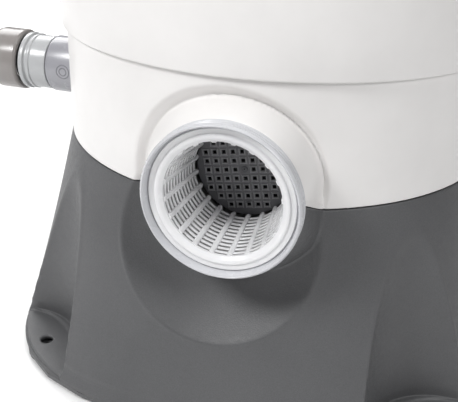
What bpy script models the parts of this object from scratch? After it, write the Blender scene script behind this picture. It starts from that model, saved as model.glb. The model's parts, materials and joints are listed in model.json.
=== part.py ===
"""Above-ground pool filter pump: a round tank on a flared base that houses the pump and its strainer.

Metres, +Z up. The origin is on the tank's axis at floor level, the strainer mouth faces -Y and the
hose ports lie along X. Run with blender --background --python part.py.
"""

from math import cos, hypot, pi, radians, sin, sqrt

import bmesh
import bpy
from mathutils import Matrix, Vector

# Driving dimensions
GAP = 0.0003  # clearance between touching pieces
WALL = 0.0035  # wall of the moulded shells

SEAM_R = 0.155  # tank and base where they meet
SEAM_Z = 0.160  # height of that seam
STEP_Z = SEAM_Z + 0.511 * SEAM_R  # where the upper tank overhangs the skirt
TANK_R = 1.028 * SEAM_R
SHOULDER_Z = 0.372
NECK_Z = 0.432
NECK_R = 0.118

FLARE = (0.12, 0.07)  # linear and square growth of the base's half width, seam to floor
SQUARENESS = 1.1  # how far the plan goes from a circle towards a square, seam to floor
SHELL_BOTTOM_Z = 0.0065
PLATE_Z = (0.0030, SHELL_BOTTOM_Z - GAP)

FLUTE_R = 0.35 * SEAM_R  # corner scoops over the feet
FLUTE_TOP_Z = SEAM_Z - 0.22 * SEAM_R
FLUTE_FLOOR_R = 1.045 * SEAM_R
FLUTE_LEAN = 0.072
FLUTE_EDGE = 0.0022
LEDGE_Z = SEAM_Z - 0.935 * SEAM_R
FOOT_HOLE_R = 0.0047
FOOT_RADIUS = 1.24 * SEAM_R

MOUTH_X = 0.066 * SEAM_R  # strainer axis, parallel to Y
MOUTH_Z = SEAM_Z + 0.082 * SEAM_R
MOUTH_Y = -1.175 * SEAM_R
COLLAR_R = 0.307 * SEAM_R
CUP_R = 0.273 * SEAM_R
CUP_BACK_Y = -0.108
BOSS_TOP_Y = MOUTH_Y + 0.0095
BOSS_TOP_R = COLLAR_R - 0.0010
BOSS_BULGE = ((0.316, -1.052), (0.343, -0.979), (0.388, -0.905))  # radii and places along Y, over SEAM_R
BOSS_LEAN = (-0.13, -0.17)  # sideways and upward shift of its axis per metre of depth
TRIM = 0.004  # extra height that the seam's cut removes
DISH_Z = SEAM_Z - 0.18 * SEAM_R
DISH_FLOOR = (0.16 * SEAM_R, -0.985 * SEAM_R)  # radius of the dish's flat floor and its place along Y
DISH_EDGE_R = 0.60 * SEAM_R
DISH_SLOPE = 0.44
FRONT_LINING_Y = -0.925 * SEAM_R

BASKET_Y = MOUTH_Y + 0.021 * SEAM_R  # the basket's flange, and the screen at its end
BASKET_DEPTH = 0.320 * SEAM_R
BASKET_FLANGE_R = 0.283 * SEAM_R
BASKET_MOUTH_R = 0.0355
BASKET_END_R = 0.0300
BASKET_WALL = 0.0013
BASKET_RIBS = 20
BASKET_ROWS = 5
SCREEN_PITCH = 0.0059
SCREEN_HOLE = 0.0030
SCREEN_TURN = radians(10)

PORT_Z = SEAM_Z + 0.0235
PORT_R = 0.0225
PORT_END_X = 0.240

INLET_Y = -0.1255
OUTLET_R = 0.0175
RISER_R = 0.0150
RISER = (MOUTH_X + 0.036, -0.070)

PUMP_Z = 0.093  # height of the pump's shaft, which runs along Y below the strainer
SHAFT_R = 0.006
VOLUTE_Y = (-0.088, -0.052)
MOTOR_Y = (-0.042, 0.098)
BELL_Y = (0.0983, 0.130)
SHAFT_Y = (-0.078, 0.120)
PUMP_SEGMENTS = 20

BOX_HALF = 0.034  # switch box on the back
BOX_LOW = 0.074
BOX_HIGH = 0.128
BOX_FACE_Y = 0.1775
ROCKER = (-0.012, BOX_FACE_Y - 0.0015, 0.101)
DRAIN_Y = 0.060
DRAIN_Z = 0.045
DRAIN_R = 0.0110

GAUGE_X = -0.036
GAUGE_Z = 0.508
GAUGE_R = 0.0250
VALVE_X = 0.040


def wanted(material_name, colour, roughness, metallic=0.0, alpha=1.0):
    """The named Principled material, made once."""
    found = bpy.data.materials.get(material_name)
    if found:
        return found
    made = bpy.data.materials.new(material_name)
    made.use_nodes = True
    shader = made.node_tree.nodes["Principled BSDF"]
    shader.inputs["Base Color"].default_value = (*colour, 1.0)
    shader.inputs["Roughness"].default_value = roughness
    shader.inputs["Metallic"].default_value = metallic
    shader.inputs["Alpha"].default_value = alpha
    made.diffuse_color = (*colour, alpha)
    return made


FINISHES = {
    "white_shell": ((0.82, 0.81, 0.80), 0.35),
    "grey_base": ((0.13, 0.13, 0.14), 0.55),
    "collar_grey": ((0.60, 0.60, 0.63), 0.35),
    "basket_clear": ((0.80, 0.80, 0.81), 0.30, 0.0, 0.6),
    "screen_grey": ((0.09, 0.09, 0.10), 0.50),
    "port_grey": ((0.40, 0.40, 0.43), 0.35),
    "adapter_light": ((0.58, 0.59, 0.60), 0.30),
    "nut_brown_grey": ((0.30, 0.28, 0.27), 0.20),
    "rubber_black": ((0.02, 0.02, 0.02), 0.70),
    "pipe_grey": ((0.30, 0.30, 0.31), 0.40),
    "pump_black": ((0.03, 0.03, 0.03), 0.45),
    "impeller_plastic": ((0.55, 0.50, 0.35), 0.45),
    "steel": ((0.60, 0.60, 0.61), 0.30, 1.0),
    "aluminium_case": ((0.55, 0.56, 0.57), 0.40, 1.0),
    "copper_lamination": ((0.35, 0.18, 0.10), 0.40, 0.8),
    "dial_white": ((0.90, 0.90, 0.88), 0.50),
    "needle_red": ((0.55, 0.03, 0.02), 0.40),
    "lens_clear": ((0.90, 0.92, 0.93), 0.05, 0.0, 0.3),
    "knob_blue": ((0.05, 0.16, 0.35), 0.40),
    "filter_paper": ((0.80, 0.82, 0.86), 0.85),
    "cartridge_cap": ((0.10, 0.22, 0.45), 0.55),
}


def new_object(name, mesh_data, finish):
    """A node from a bmesh: outward normals, smooth shading with sharp creases, and its material."""
    bmesh.ops.recalc_face_normals(mesh_data, faces=mesh_data.faces)
    mesh = bpy.data.meshes.new(name)
    mesh_data.to_mesh(mesh)
    mesh_data.free()
    mesh.shade_smooth()
    mesh.set_sharp_from_angle(angle=radians(32))
    mesh.materials.append(wanted(finish, *FINISHES[finish]))
    obj = bpy.data.objects.new(name, mesh)
    bpy.context.scene.collection.objects.link(obj)
    return obj


def pivot(obj, point):
    """Puts a moving piece's origin on its joint axis and leaves the piece where it is."""
    obj.data.transform(Matrix.Translation(-Vector(point)))
    obj.location = point


def cutter_object(mesh_data):
    """A hidden helper for a Boolean."""
    obj = new_object("cutter", mesh_data, "steel")
    obj.hide_render = True
    obj.display_type = "WIRE"
    return obj


def boolean(obj, helper, operation="DIFFERENCE"):
    modifier = obj.modifiers.new(operation.lower(), "BOOLEAN")
    modifier.operation = operation
    modifier.solver = "EXACT"
    modifier.object = helper


def skin(mesh_data, rings, closed_profile=False):
    """Quads between rings of equal length, each ring closed; a ring of one point is a pole."""
    pairs = list(zip(rings, rings[1:]))
    if closed_profile:
        pairs.append((rings[-1], rings[0]))
    for low, high in pairs:
        count = max(len(low), len(high))
        for i in range(count):
            corners = [low[i % len(low)], low[(i + 1) % len(low)]]
            corners += [high[(i + 1) % len(high)], high[i % len(high)]]
            corners = list(dict.fromkeys(corners))
            if len(corners) > 2:
                mesh_data.faces.new(corners)


def frame_along(axis, centre):
    """The matrix that turns +Z onto the axis and moves the origin to the centre."""
    turn = Vector((0, 0, 1)).rotation_difference(Vector(axis)).to_matrix().to_4x4()
    return Matrix.Translation(centre) @ turn


def turned(profile, segments=40, axis=(0, 0, 1), centre=(0, 0, 0), closed=False):
    """A bmesh turned about an axis from (radius, height) points."""
    mesh_data = bmesh.new()
    place = frame_along(axis, centre)
    rings = []
    for radius, height in profile:
        if radius < 1e-6:
            rings.append([mesh_data.verts.new(place @ Vector((0, 0, height)))])
            continue
        ring = []
        for k in range(segments):
            angle = 2 * pi * k / segments
            point = Vector((radius * cos(angle), radius * sin(angle), height))
            ring.append(mesh_data.verts.new(place @ point))
        rings.append(ring)
    skin(mesh_data, rings, closed)
    return mesh_data


def disc(radius, low, high, **where):
    return turned([(0, low), (radius, low), (radius, high), (0, high)], **where)


def tube(outer, inner, low, high, **where):
    return turned([(outer, low), (outer, high), (inner, high), (inner, low)], closed=True, **where)


def bar(low, high):
    """A bmesh box between two corners."""
    mesh_data = bmesh.new()
    size = [b - a for a, b in zip(low, high)]
    middle = [(a + b) / 2 for a, b in zip(low, high)]
    bmesh.ops.create_cube(mesh_data, size=1, matrix=Matrix.Translation(middle) @ Matrix.Diagonal((*size, 1)))
    return mesh_data


def soften(mesh_data, width, segments=2):
    bmesh.ops.bevel(
        mesh_data,
        geom=mesh_data.edges[:],
        offset=width,
        segments=segments,
        affect="EDGES",
        clamp_overlap=True,
    )
    return mesh_data


def torus(name, ring_r, wire_r, finish, **where):
    steps = 5
    turns = [2 * pi * k / steps for k in range(steps)]
    points = [(ring_r + wire_r * cos(a), wire_r * sin(a)) for a in turns]
    where.setdefault("segments", 20)
    return new_object(name, turned(points, closed=True, **where), finish)


def bend(start, corner, end, radius, steps=4):
    """Points of a straight, an arc of the given radius round the corner, and a straight."""
    start, corner, end = Vector(start), Vector(corner), Vector(end)
    into = (start - corner).normalized()
    out = (end - corner).normalized()
    half = into.angle(out) / 2
    reach = radius / max(1e-9, sin(half) / cos(half))
    middle = corner + (into + out).normalized() * (radius / sin(half))
    first = corner + into * reach - middle
    last = corner + out * reach - middle
    arc = [middle + first.normalized().slerp(last.normalized(), k / steps) * radius for k in range(steps + 1)]
    return [start, *arc, end]


def pipe(name, path, outer, inner, finish, segments=10):
    """A hollow pipe along a path, its rings turned with the path so that they never twist."""
    mesh_data = bmesh.new()
    path = [Vector(p) for p in path]
    directions = []
    for i, point in enumerate(path):
        before = path[max(i - 1, 0)]
        after = path[min(i + 1, len(path) - 1)]
        directions.append((after - before).normalized())
    side = directions[0].orthogonal().normalized()
    outside, inside = [], []
    for point, direction in zip(path, directions):
        side = (side - direction * side.dot(direction)).normalized()
        up = direction.cross(side)
        angles = [2 * pi * k / segments for k in range(segments)]
        for rings, radius in ((outside, outer), (inside, inner)):
            rings.append([mesh_data.verts.new(point + radius * (cos(a) * side + sin(a) * up)) for a in angles])
    skin(mesh_data, outside + inside[::-1], closed_profile=True)
    return new_object(name, mesh_data, finish)


# The moulded shells: radius from the tank's axis as a function of direction and height


def smooth_min(a, b, blend):
    part = max(blend - abs(a - b), 0.0) / blend
    return min(a, b) - part * part * blend / 4


def plan_radius(angle, height):
    """The flared body: a circle at the seam that squares off towards the floor. Angle 0 is -Y."""
    drop = max(SEAM_Z - height, 0.0) / SEAM_Z
    half_width = SEAM_R * (1 + FLARE[0] * drop + FLARE[1] * drop * drop)
    power = 2 + SQUARENESS * drop
    return half_width / (abs(sin(angle)) ** power + abs(cos(angle)) ** power) ** (1 / power)


def flute_radius(angle, height):
    """The nearly upright round scoop over the nearest corner foot, or None beside it."""
    nearest = radians(45) + radians(90) * round((angle - radians(45)) / radians(90))
    away = angle - nearest
    floor = FLUTE_FLOOR_R + FLUTE_LEAN * (FLUTE_TOP_Z - height)
    middle = floor + FLUTE_R
    across = middle * sin(away)
    if abs(across) >= FLUTE_R:
        return None
    return middle * cos(away) - sqrt(FLUTE_R**2 - across**2)


def outer_radius(angle, height):
    """The outside of the base with its scoops."""
    radius = plan_radius(angle, height)
    if LEDGE_Z < height < FLUTE_TOP_Z + 0.02:
        flute = flute_radius(angle, height)
        if flute is not None:
            radius = smooth_min(radius, flute, FLUTE_EDGE)
    return radius


def lining_radius(angle, height):
    """The inside of the base: a wall's thickness in, and flat behind the strainer's dish."""
    radius = outer_radius(angle, height) - WALL
    if cos(angle) > 0.62:
        radius = min(radius, -FRONT_LINING_Y / cos(angle))
    return radius


def shell_angles():
    """Directions round the base, closer together over the scoops."""
    angles = []
    angle = 0.0
    while angle < 360.0 - 1e-6:
        angles.append(radians(angle))
        angle += 4.5 if 27 <= angle % 90 < 63 else 9
    return angles


def levels(low, high, step):
    count = max(1, round((high - low) / step))
    return [low + (high - low) * k / count for k in range(count + 1)]


def on_shell(angle, radius, height):
    return Vector((radius * sin(angle), -radius * cos(angle), height))


def shell(name, outer_rows, inner_rows, finish):
    """A closed wall between two stacks of rows, each a (height, radius function)."""
    mesh_data = bmesh.new()
    angles = shell_angles()
    rings = []
    for height, radius_at in outer_rows + inner_rows[::-1]:
        rings.append([mesh_data.verts.new(on_shell(a, radius_at(a, height), height)) for a in angles])
    skin(mesh_data, rings, closed_profile=True)
    bmesh.ops.triangulate(mesh_data, faces=mesh_data.faces)
    return new_object(name, mesh_data, finish)


def foot_places():
    corners = {"front_right": 45, "rear_right": 135, "rear_left": -135, "front_left": -45}
    return {name: on_shell(radians(a), FOOT_RADIUS, 0.0) for name, a in corners.items()}


def mouth_place(**extra):
    """Turned about the mouth's axis, with heights given along +Y from the tank's axis."""
    return {"axis": (0, 1, 0), "centre": (MOUTH_X, 0, MOUTH_Z), "segments": 36, **extra}


def add_boss(obj):
    """Joins the bulging boss round the strainer housing to a shell, kept below the tank's step."""
    hole_r = CUP_R + 0.0012
    boolean(obj, cutter_object(disc(hole_r + 0.006, MOUTH_Y - 0.02, -0.10, **mouth_place())))
    profile = [(0, BOSS_TOP_Y), (BOSS_TOP_R, BOSS_TOP_Y)]
    profile += [(radius * SEAM_R, depth * SEAM_R) for radius, depth in BOSS_BULGE]
    cone = cutter_object(turned(profile + [(0, profile[-1][1])], **mouth_place()))
    for vertex in cone.data.vertices:
        depth = vertex.co.y - BOSS_TOP_Y
        vertex.co.x += BOSS_LEAN[0] * depth
        vertex.co.z += BOSS_LEAN[1] * depth
    boolean(cone, cutter_object(disc(hole_r, MOUTH_Y - 0.02, -0.10, **mouth_place())))
    boolean(cone, cutter_object(bar((-0.2, -0.3, 0.05), (0.2, 0.0, STEP_Z - 0.0047))), "INTERSECT")
    boolean(obj, cone, "UNION")


def trim(obj, low, high):
    """Cuts away everything between two heights."""
    boolean(obj, cutter_object(bar((-0.3, -0.3, low), (0.3, 0.3, high))))


def base_shell():
    top = SEAM_Z - GAP
    under = LEDGE_Z - WALL
    outer = [(h, outer_radius) for h in (SHELL_BOTTOM_Z, LEDGE_Z - 0.0002)]
    outer += [(h, outer_radius) for h in levels(LEDGE_Z + 0.0002, top + TRIM, 0.0240)]
    inner = [(h, lambda a, z: plan_radius(a, z) - WALL) for h in (SHELL_BOTTOM_Z, under - 0.0002)]
    inner += [(under + 0.0002, lambda a, z: lining_radius(a, LEDGE_Z + 0.0002))]
    inner += [(h, lining_radius) for h in levels(LEDGE_Z + 0.0240, top + TRIM, 0.0240)]
    obj = shell("base_shell", outer, inner, "grey_base")
    for place in foot_places().values():
        boolean(obj, cutter_object(disc(FOOT_HOLE_R, -0.01, 0.03, segments=16, centre=place)))
    window = bar((-BOX_HALF - GAP, 0.12, BOX_LOW - GAP), (BOX_HALF + GAP, 0.20, BOX_HIGH + GAP))
    boolean(obj, cutter_object(window))
    drain = (0, DRAIN_Y, DRAIN_Z)
    boolean(obj, cutter_object(disc(DRAIN_R + GAP, 0.10, 0.22, axis=(1, 0, 0), centre=drain, segments=20)))
    floor_r, floor_y = DISH_FLOOR
    edge_y = floor_y - (DISH_EDGE_R - floor_r) * DISH_SLOPE
    profile = [(0, floor_y), (floor_r, floor_y), (DISH_EDGE_R, edge_y), (DISH_EDGE_R, -0.25), (0, -0.25)]
    dish = cutter_object(turned(profile, **mouth_place(centre=(0, 0, DISH_Z))))
    boolean(dish, cutter_object(bar((-0.2, -0.3, 0.0), (0.2, 0.0, SEAM_Z + 2 * TRIM))), "INTERSECT")
    boolean(obj, dish)
    add_boss(obj)
    trim(obj, top, 0.3)
    return obj


def base_plate():
    angles = [radians(9 * k) for k in range(40)]
    mesh_data = bmesh.new()
    rings = []
    for height in PLATE_Z:
        rings.append([mesh_data.verts.new(on_shell(a, plan_radius(a, 0) - 0.0025, height)) for a in angles])
    skin(mesh_data, rings)
    for ring in rings:
        mesh_data.faces.new(ring)
    obj = new_object("base_plate", mesh_data, "grey_base")
    for place in foot_places().values():
        boolean(obj, cutter_object(disc(FOOT_HOLE_R, -0.01, 0.02, segments=16, centre=place)))
    return obj


def foot_pads():
    for name, place in foot_places().items():
        ring = tube(0.013, FOOT_HOLE_R + 0.001, 0.0, PLATE_Z[0] - GAP, centre=place, segments=16)
        new_object("foot_pad_" + name, ring, "rubber_black")


def tank_skirt():
    """The white lower wall: it carries the upper half of the boss and steps in under the tank."""
    low, high = SEAM_Z + GAP, STEP_Z - GAP
    rim = SEAM_R - 0.0016
    profile = [(SEAM_R, low - TRIM), (SEAM_R, high - 0.0032), (rim, high - 0.0026), (rim, high)]
    profile += [(SEAM_R - WALL, high), (SEAM_R - WALL, low - TRIM)]
    obj = new_object("tank_skirt", turned(profile, segments=48, closed=True), "white_shell")
    add_boss(obj)
    trim(obj, 0.0, low)
    for side in (-1, 1):
        hole = disc(PORT_R + GAP, 0.12, 0.20, axis=(side, 0, 0), centre=(0, 0, PORT_Z), segments=24)
        boolean(obj, cutter_object(hole))
    return obj


def tank_body():
    """The pressure shell: dished floor inside the skirt, overhanging wall, shoulder and neck."""
    inside = 0.1385
    shoulder_r = TANK_R - NECK_R - 0.004
    outer = [(0, 0.2150), (0.108, 0.2215), (0.131, 0.2300), (inside, STEP_Z + 0.001)]
    outer += [(TANK_R - 0.0025, STEP_Z + 0.001), (TANK_R, STEP_Z + 0.0035), (TANK_R, SHOULDER_Z)]
    steps = 3
    for k in range(1, steps + 1):
        turn = radians(90) * k / steps
        outer.append((TANK_R - shoulder_r * (1 - cos(turn)), SHOULDER_Z + 0.040 * sin(turn)))
    outer += [(NECK_R, SHOULDER_Z + 0.040), (NECK_R, NECK_Z)]
    inner = [(NECK_R - 0.006, NECK_Z), (NECK_R - 0.006, SHOULDER_Z + 0.036)]
    for k in range(steps - 1, -1, -1):
        turn = radians(90) * k / steps
        inner.append((TANK_R - 0.005 - shoulder_r * (1 - cos(turn)), SHOULDER_Z + 0.036 * sin(turn)))
    inner += [(TANK_R - 0.005, STEP_Z + 0.006), (inside - 0.002, STEP_Z + 0.006)]
    inner += [(0.129, 0.2345), (0.106, 0.2260), (0, 0.2190)]
    obj = new_object("tank_body", turned(outer + inner, segments=36), "white_shell")
    boolean(obj, cutter_object(disc(OUTLET_R + GAP, 0.20, 0.25, segments=24)))
    boolean(obj, cutter_object(disc(RISER_R + GAP, 0.20, 0.25, centre=(RISER[0], RISER[1], 0), segments=24)))
    return obj


# The strainer


def strainer_housing():
    """The threaded mouth and the cup behind it, turned about the mouth's axis; depth runs towards +Y."""
    depth = CUP_BACK_Y - MOUTH_Y
    profile = [(0, depth), (CUP_R, depth), (CUP_R, 0.0092), (COLLAR_R - 0.0006, 0.0088)]
    profile += [(COLLAR_R, 0.0008), (COLLAR_R - 0.0008, 0)]
    profile += [(BASKET_FLANGE_R + 0.0022, 0), (BASKET_FLANGE_R + 0.0012, 0.0008)]
    profile += [(BASKET_FLANGE_R + 0.0006, 0.0062), (CUP_R - 0.0035, 0.0070), (CUP_R - 0.0042, depth - 0.004)]
    profile += [(0, depth - 0.004)]
    where = {"axis": (0, 1, 0), "centre": (MOUTH_X, MOUTH_Y, MOUTH_Z), "segments": 36}
    obj = new_object("strainer_housing", turned(profile, **where), "collar_grey")
    hole = disc(0.0148, -0.03, 0.02, axis=(0, 1, 0), centre=(MOUTH_X, CUP_BACK_Y, MOUTH_Z - 0.020), segments=24)
    boolean(obj, cutter_object(hole))
    side = disc(0.0150, 0.0, 0.05, axis=(-1, 0, 0), centre=(MOUTH_X - 0.02, INLET_Y, MOUTH_Z), segments=24)
    boolean(obj, cutter_object(side))
    return obj


def perforated(place, columns, rows, solid):
    """A wall with openings, closed round the columns: place(column, row, side) gives each corner."""
    mesh_data = bmesh.new()
    made = {}

    def at(column, row, side):
        key = (column % columns, row, side)
        if key not in made:
            made[key] = mesh_data.verts.new(place(*key))
        return made[key]

    for i in range(columns):
        for j in range(rows):
            if not solid(i, j):
                continue
            for side in (0, 1):
                corners = ((i, j), (i + 1, j), (i + 1, j + 1), (i, j + 1))
                mesh_data.faces.new([at(*corner, side) for corner in corners])
            edges = {(i, j - 1): ((i, j), (i + 1, j)), (i, j + 1): ((i, j + 1), (i + 1, j + 1))}
            edges[(i - 1, j)] = ((i, j), (i, j + 1))
            edges[(i + 1, j)] = ((i + 1, j), (i + 1, j + 1))
            for (column, row), (a, b) in edges.items():
                if 0 <= row < rows and solid(column % columns, row):
                    continue
                mesh_data.faces.new([at(*a, 0), at(*b, 0), at(*b, 1), at(*a, 1)])
    return mesh_data


def strainer_basket():
    """Slotted tapering wall with an outward flange, and ribs that reach past the last ring."""
    rib_share = 0.34
    ring_share = 0.42
    pitch = 2 * pi / BASKET_RIBS
    start = 0.0060
    row_pitch = (BASKET_DEPTH - start - 0.0015) / BASKET_ROWS
    heights = [start - 0.004]
    for k in range(BASKET_ROWS):
        heights += [start + k * row_pitch, start + (k + 1 - ring_share) * row_pitch]
    heights.append(start + BASKET_ROWS * row_pitch)
    flange = [(BASKET_FLANGE_R, 0.0006), (BASKET_MOUTH_R + 0.0012, 0.0006)]

    def place(column, row, side):
        angle = pitch * (column // 2 + (0.5 - rib_share / 2 if column % 2 == 0 else 0.5 + rib_share / 2))
        if row < len(flange):
            radius, depth = flange[row]
            depth += 0 if side else 0.0016
        else:
            depth = heights[row - len(flange)]
            radius = BASKET_MOUTH_R + (BASKET_END_R - BASKET_MOUTH_R) * depth / BASKET_DEPTH
            radius += 0 if side else BASKET_WALL
        return Vector((MOUTH_X + radius * cos(angle), BASKET_Y + depth, MOUTH_Z + radius * sin(angle)))

    flange_rows = len(flange)

    def solid(column, row):
        if row < flange_rows:
            return True
        return column % 2 == 0 or (row - flange_rows) % 2 == 0

    rows = flange_rows + len(heights) - 1
    obj = new_object("strainer_basket", perforated(place, 2 * BASKET_RIBS, rows, solid), "basket_clear")
    pivot(obj, (MOUTH_X, BASKET_Y, MOUTH_Z))


def strainer_screen():
    """The square-hole plate clipped into the basket's end, with its moulded centre pin."""
    where = {"axis": (0, -1, 0), "centre": (MOUTH_X, BASKET_Y + BASKET_DEPTH + GAP, MOUTH_Z), "segments": 28}
    radius = BASKET_END_R + 0.0010
    profile = [(0, -0.0018), (radius, -0.0018), (radius, 0), (0.0012, 0), (0.0009, 0.0024), (0, 0.0026)]
    obj = new_object("strainer_screen", turned(profile, **where), "screen_grey")
    holes = bmesh.new()
    reach = radius - 0.0026
    count = int(reach / SCREEN_PITCH)
    middle = Matrix.Translation((MOUTH_X, BASKET_Y + BASKET_DEPTH, MOUTH_Z))
    turn = middle @ Matrix.Rotation(-SCREEN_TURN, 4, "Y")
    for i in range(-count, count + 1):
        for j in range(-count, count + 1):
            x, z = i * SCREEN_PITCH, j * SCREEN_PITCH
            if (i, j) == (0, 0) or hypot(abs(x) + SCREEN_HOLE / 2, abs(z) + SCREEN_HOLE / 2) > reach:
                continue
            size = Matrix.Diagonal((SCREEN_HOLE, 0.012, SCREEN_HOLE, 1))
            bmesh.ops.create_cube(holes, size=1, matrix=turn @ Matrix.Translation((x, 0, z)) @ size)
    boolean(obj, cutter_object(holes))
    pivot(obj, (MOUTH_X, BASKET_Y + BASKET_DEPTH, MOUTH_Z))


# The hose ports and the pipes inside


def hose_port(name, side):
    """Sleeve through the skirt, lighter adapter, O-ring and the screwed nut; side is -1 or 1 along X."""
    where = {"axis": (side, 0, 0), "centre": (0, 0, PORT_Z), "segments": 20}
    step = 1.205 * SEAM_R
    face = 0.2140
    sleeve = [(PORT_R, 0.1420), (PORT_R, step), (PORT_R - 0.0008, step + 0.0006)]
    sleeve += [(PORT_R - 0.0008, step + 0.0030), (0.0195, step + 0.0030), (0.0195, 0.1420)]
    new_object(name + "_sleeve", turned(sleeve, closed=True, **where), "port_grey")
    adapter = [(0.0192, step - 0.020), (0.0192, step + 0.0033), (PORT_R - 0.0011, step + 0.0033)]
    adapter += [(PORT_R - 0.0011, 0.2050), (PORT_R - 0.0035, 0.2056), (PORT_R - 0.0035, 0.2090)]
    adapter += [(PORT_R + 0.0005, 0.2094), (PORT_R + 0.0005, face - GAP), (0.0176, face - GAP)]
    adapter += [(0.0160, face - GAP), (0.0160, step - 0.020)]
    new_object(name + "_adapter", turned(adapter, closed=True, **where), "adapter_light")
    middle = (side * (face + 0.0011), 0, PORT_Z)
    torus(name + "_oring", 0.0182, 0.0011, "rubber_black", axis=(side, 0, 0), centre=middle)
    nut = [(PORT_R - 0.0015, face), (PORT_R + 0.0012, face), (PORT_R + 0.0020, face + 0.0015)]
    nut += [(PORT_R + 0.0020, PORT_END_X - 0.0050), (PORT_R + 0.0012, PORT_END_X - 0.0020)]
    nut += [(PORT_R - 0.0016, PORT_END_X), (0.0165, PORT_END_X), (0.0165, face + 0.0030)]
    nut += [(PORT_R - 0.0015, face + 0.0030)]
    obj = new_object(name + "_nut", turned(nut, closed=True, **where), "nut_brown_grey")
    pivot(obj, (side * face, 0, PORT_Z))


def pipes():
    cup_side = MOUTH_X - CUP_R
    middle = (-0.0660, -0.060, (PORT_Z + MOUTH_Z) / 2)
    cross = bend((-0.1415, 0, PORT_Z), (-0.0700, 0, PORT_Z), middle, 0.022)
    turn = bend(middle, (-0.0620, INLET_Y, MOUTH_Z), (cup_side - 0.0010, INLET_Y, MOUTH_Z), 0.0200)
    pipe("inlet_pipe", cross + turn[1:], 0.0148, 0.0122, "pipe_grey")
    path = bend((0, 0, 0.2350), (0, 0, PORT_Z), (0.1415, 0, PORT_Z), 0.0200)
    pipe("outlet_pipe", path, OUTLET_R, 0.0145, "pipe_grey")
    pipe("riser_pipe", [(*RISER, PUMP_Z + 0.0743), (*RISER, 0.2300)], RISER_R, 0.0122, "pipe_grey")
    elbow()


def elbow():
    """From the cup's back wall down to the pump's eye, as a flat hollow box casting with two round ports."""
    low = PUMP_Z - 0.018
    high = MOUTH_Z - 0.003
    front, back = CUP_BACK_Y + GAP, VOLUTE_Y[0] - GAP
    body = soften(bar((MOUTH_X - 0.019, front, low), (MOUTH_X + 0.019, back, high)), 0.002, 1)
    obj = new_object("suction_elbow", body, "pump_black")
    hollow = bar((MOUTH_X - 0.016, front + 0.003, low + 0.003), (MOUTH_X + 0.016, back - 0.003, high - 0.003))
    boolean(obj, cutter_object(hollow))
    inlet = disc(0.0125, -0.01, 0.008, axis=(0, 1, 0), centre=(MOUTH_X, front, MOUTH_Z - 0.020), segments=24)
    boolean(obj, cutter_object(inlet))
    outlet = disc(0.0125, -0.008, 0.01, axis=(0, 1, 0), centre=(MOUTH_X, back, PUMP_Z), segments=24)
    boolean(obj, cutter_object(outlet))


# The pump and its motor, on one axis along Y


def pump_place():
    """Turned about the pump's shaft, with heights given along +Y from the tank's axis."""
    return {"axis": (0, 1, 0), "centre": (MOUTH_X, 0, PUMP_Z), "segments": PUMP_SEGMENTS}


def volute():
    """The pump casing: a drum with an eye in front, an open back and an upward spout."""
    front, back = VOLUTE_Y
    body = [(0, front), (0.0240, front), (0.0260, front + 0.006), (0.0560, front + 0.008)]
    body += [(0.0600, front + 0.012), (0.0600, back), (0, back)]
    obj = new_object("volute", turned(body, **pump_place()), "pump_black")
    spout = {"centre": (*RISER, PUMP_Z), "segments": 20}
    boolean(obj, cutter_object(disc(0.0168, 0.001, 0.0740, **spout)), "UNION")
    chamber = [(0, front + 0.0115), (0.0540, front + 0.0135), (0.0540, back + 0.01), (0, back + 0.01)]
    boolean(obj, cutter_object(turned(chamber, **pump_place())))
    boolean(obj, cutter_object(disc(0.0130, front - 0.01, front + 0.02, **pump_place())))
    boolean(obj, cutter_object(disc(0.0138, 0.011, 0.0800, **spout)))
    return obj


def about_y(mesh_data, turn, lever=0.0):
    """Turns a mesh about a line along Y, the lever away from the pump's shaft towards +X."""
    spin = Matrix.Rotation(radians(turn), 3, "Y")
    bmesh.ops.rotate(mesh_data, verts=mesh_data.verts, cent=(lever, 0, 0), matrix=spin)


def pump_parts():
    front, back = VOLUTE_Y
    nose = front + 0.0125
    shroud = nose + 0.0045
    plate = back - 0.0095
    impeller = [(SHAFT_R + GAP, nose), (0.0122, nose), (0.0150, nose + 0.0022), (0.0480, shroud)]
    impeller += [(0.0480, shroud + 0.0015), (0.0160, shroud + 0.0015), (0.0160, plate - 0.0020)]
    impeller += [(0.0480, plate - 0.0020), (0.0480, plate), (SHAFT_R + GAP, plate)]
    obj = new_object("impeller", turned(impeller, closed=True, **pump_place()), "impeller_plastic")
    for k in range(6):
        vane = bar((0.0155, shroud + 0.0010, -0.0010), (0.0470, plate - 0.0012, 0.0010))
        about_y(vane, 28, lever=0.0155)
        about_y(vane, 60 * k)
        bmesh.ops.translate(vane, verts=vane.verts, vec=(MOUTH_X, 0, PUMP_Z))
        boolean(obj, cutter_object(vane), "UNION")
    pivot(obj, (MOUTH_X, plate, PUMP_Z))
    seal_plate = tube(0.0600, 0.0125, back + GAP, MOTOR_Y[0] - GAP, **pump_place())
    new_object("seal_plate", seal_plate, "pump_black")
    seal = tube(0.0120, SHAFT_R + GAP, plate + 0.0010, MOTOR_Y[0] - 0.002, **pump_place())
    new_object("shaft_seal", seal, "rubber_black")


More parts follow.
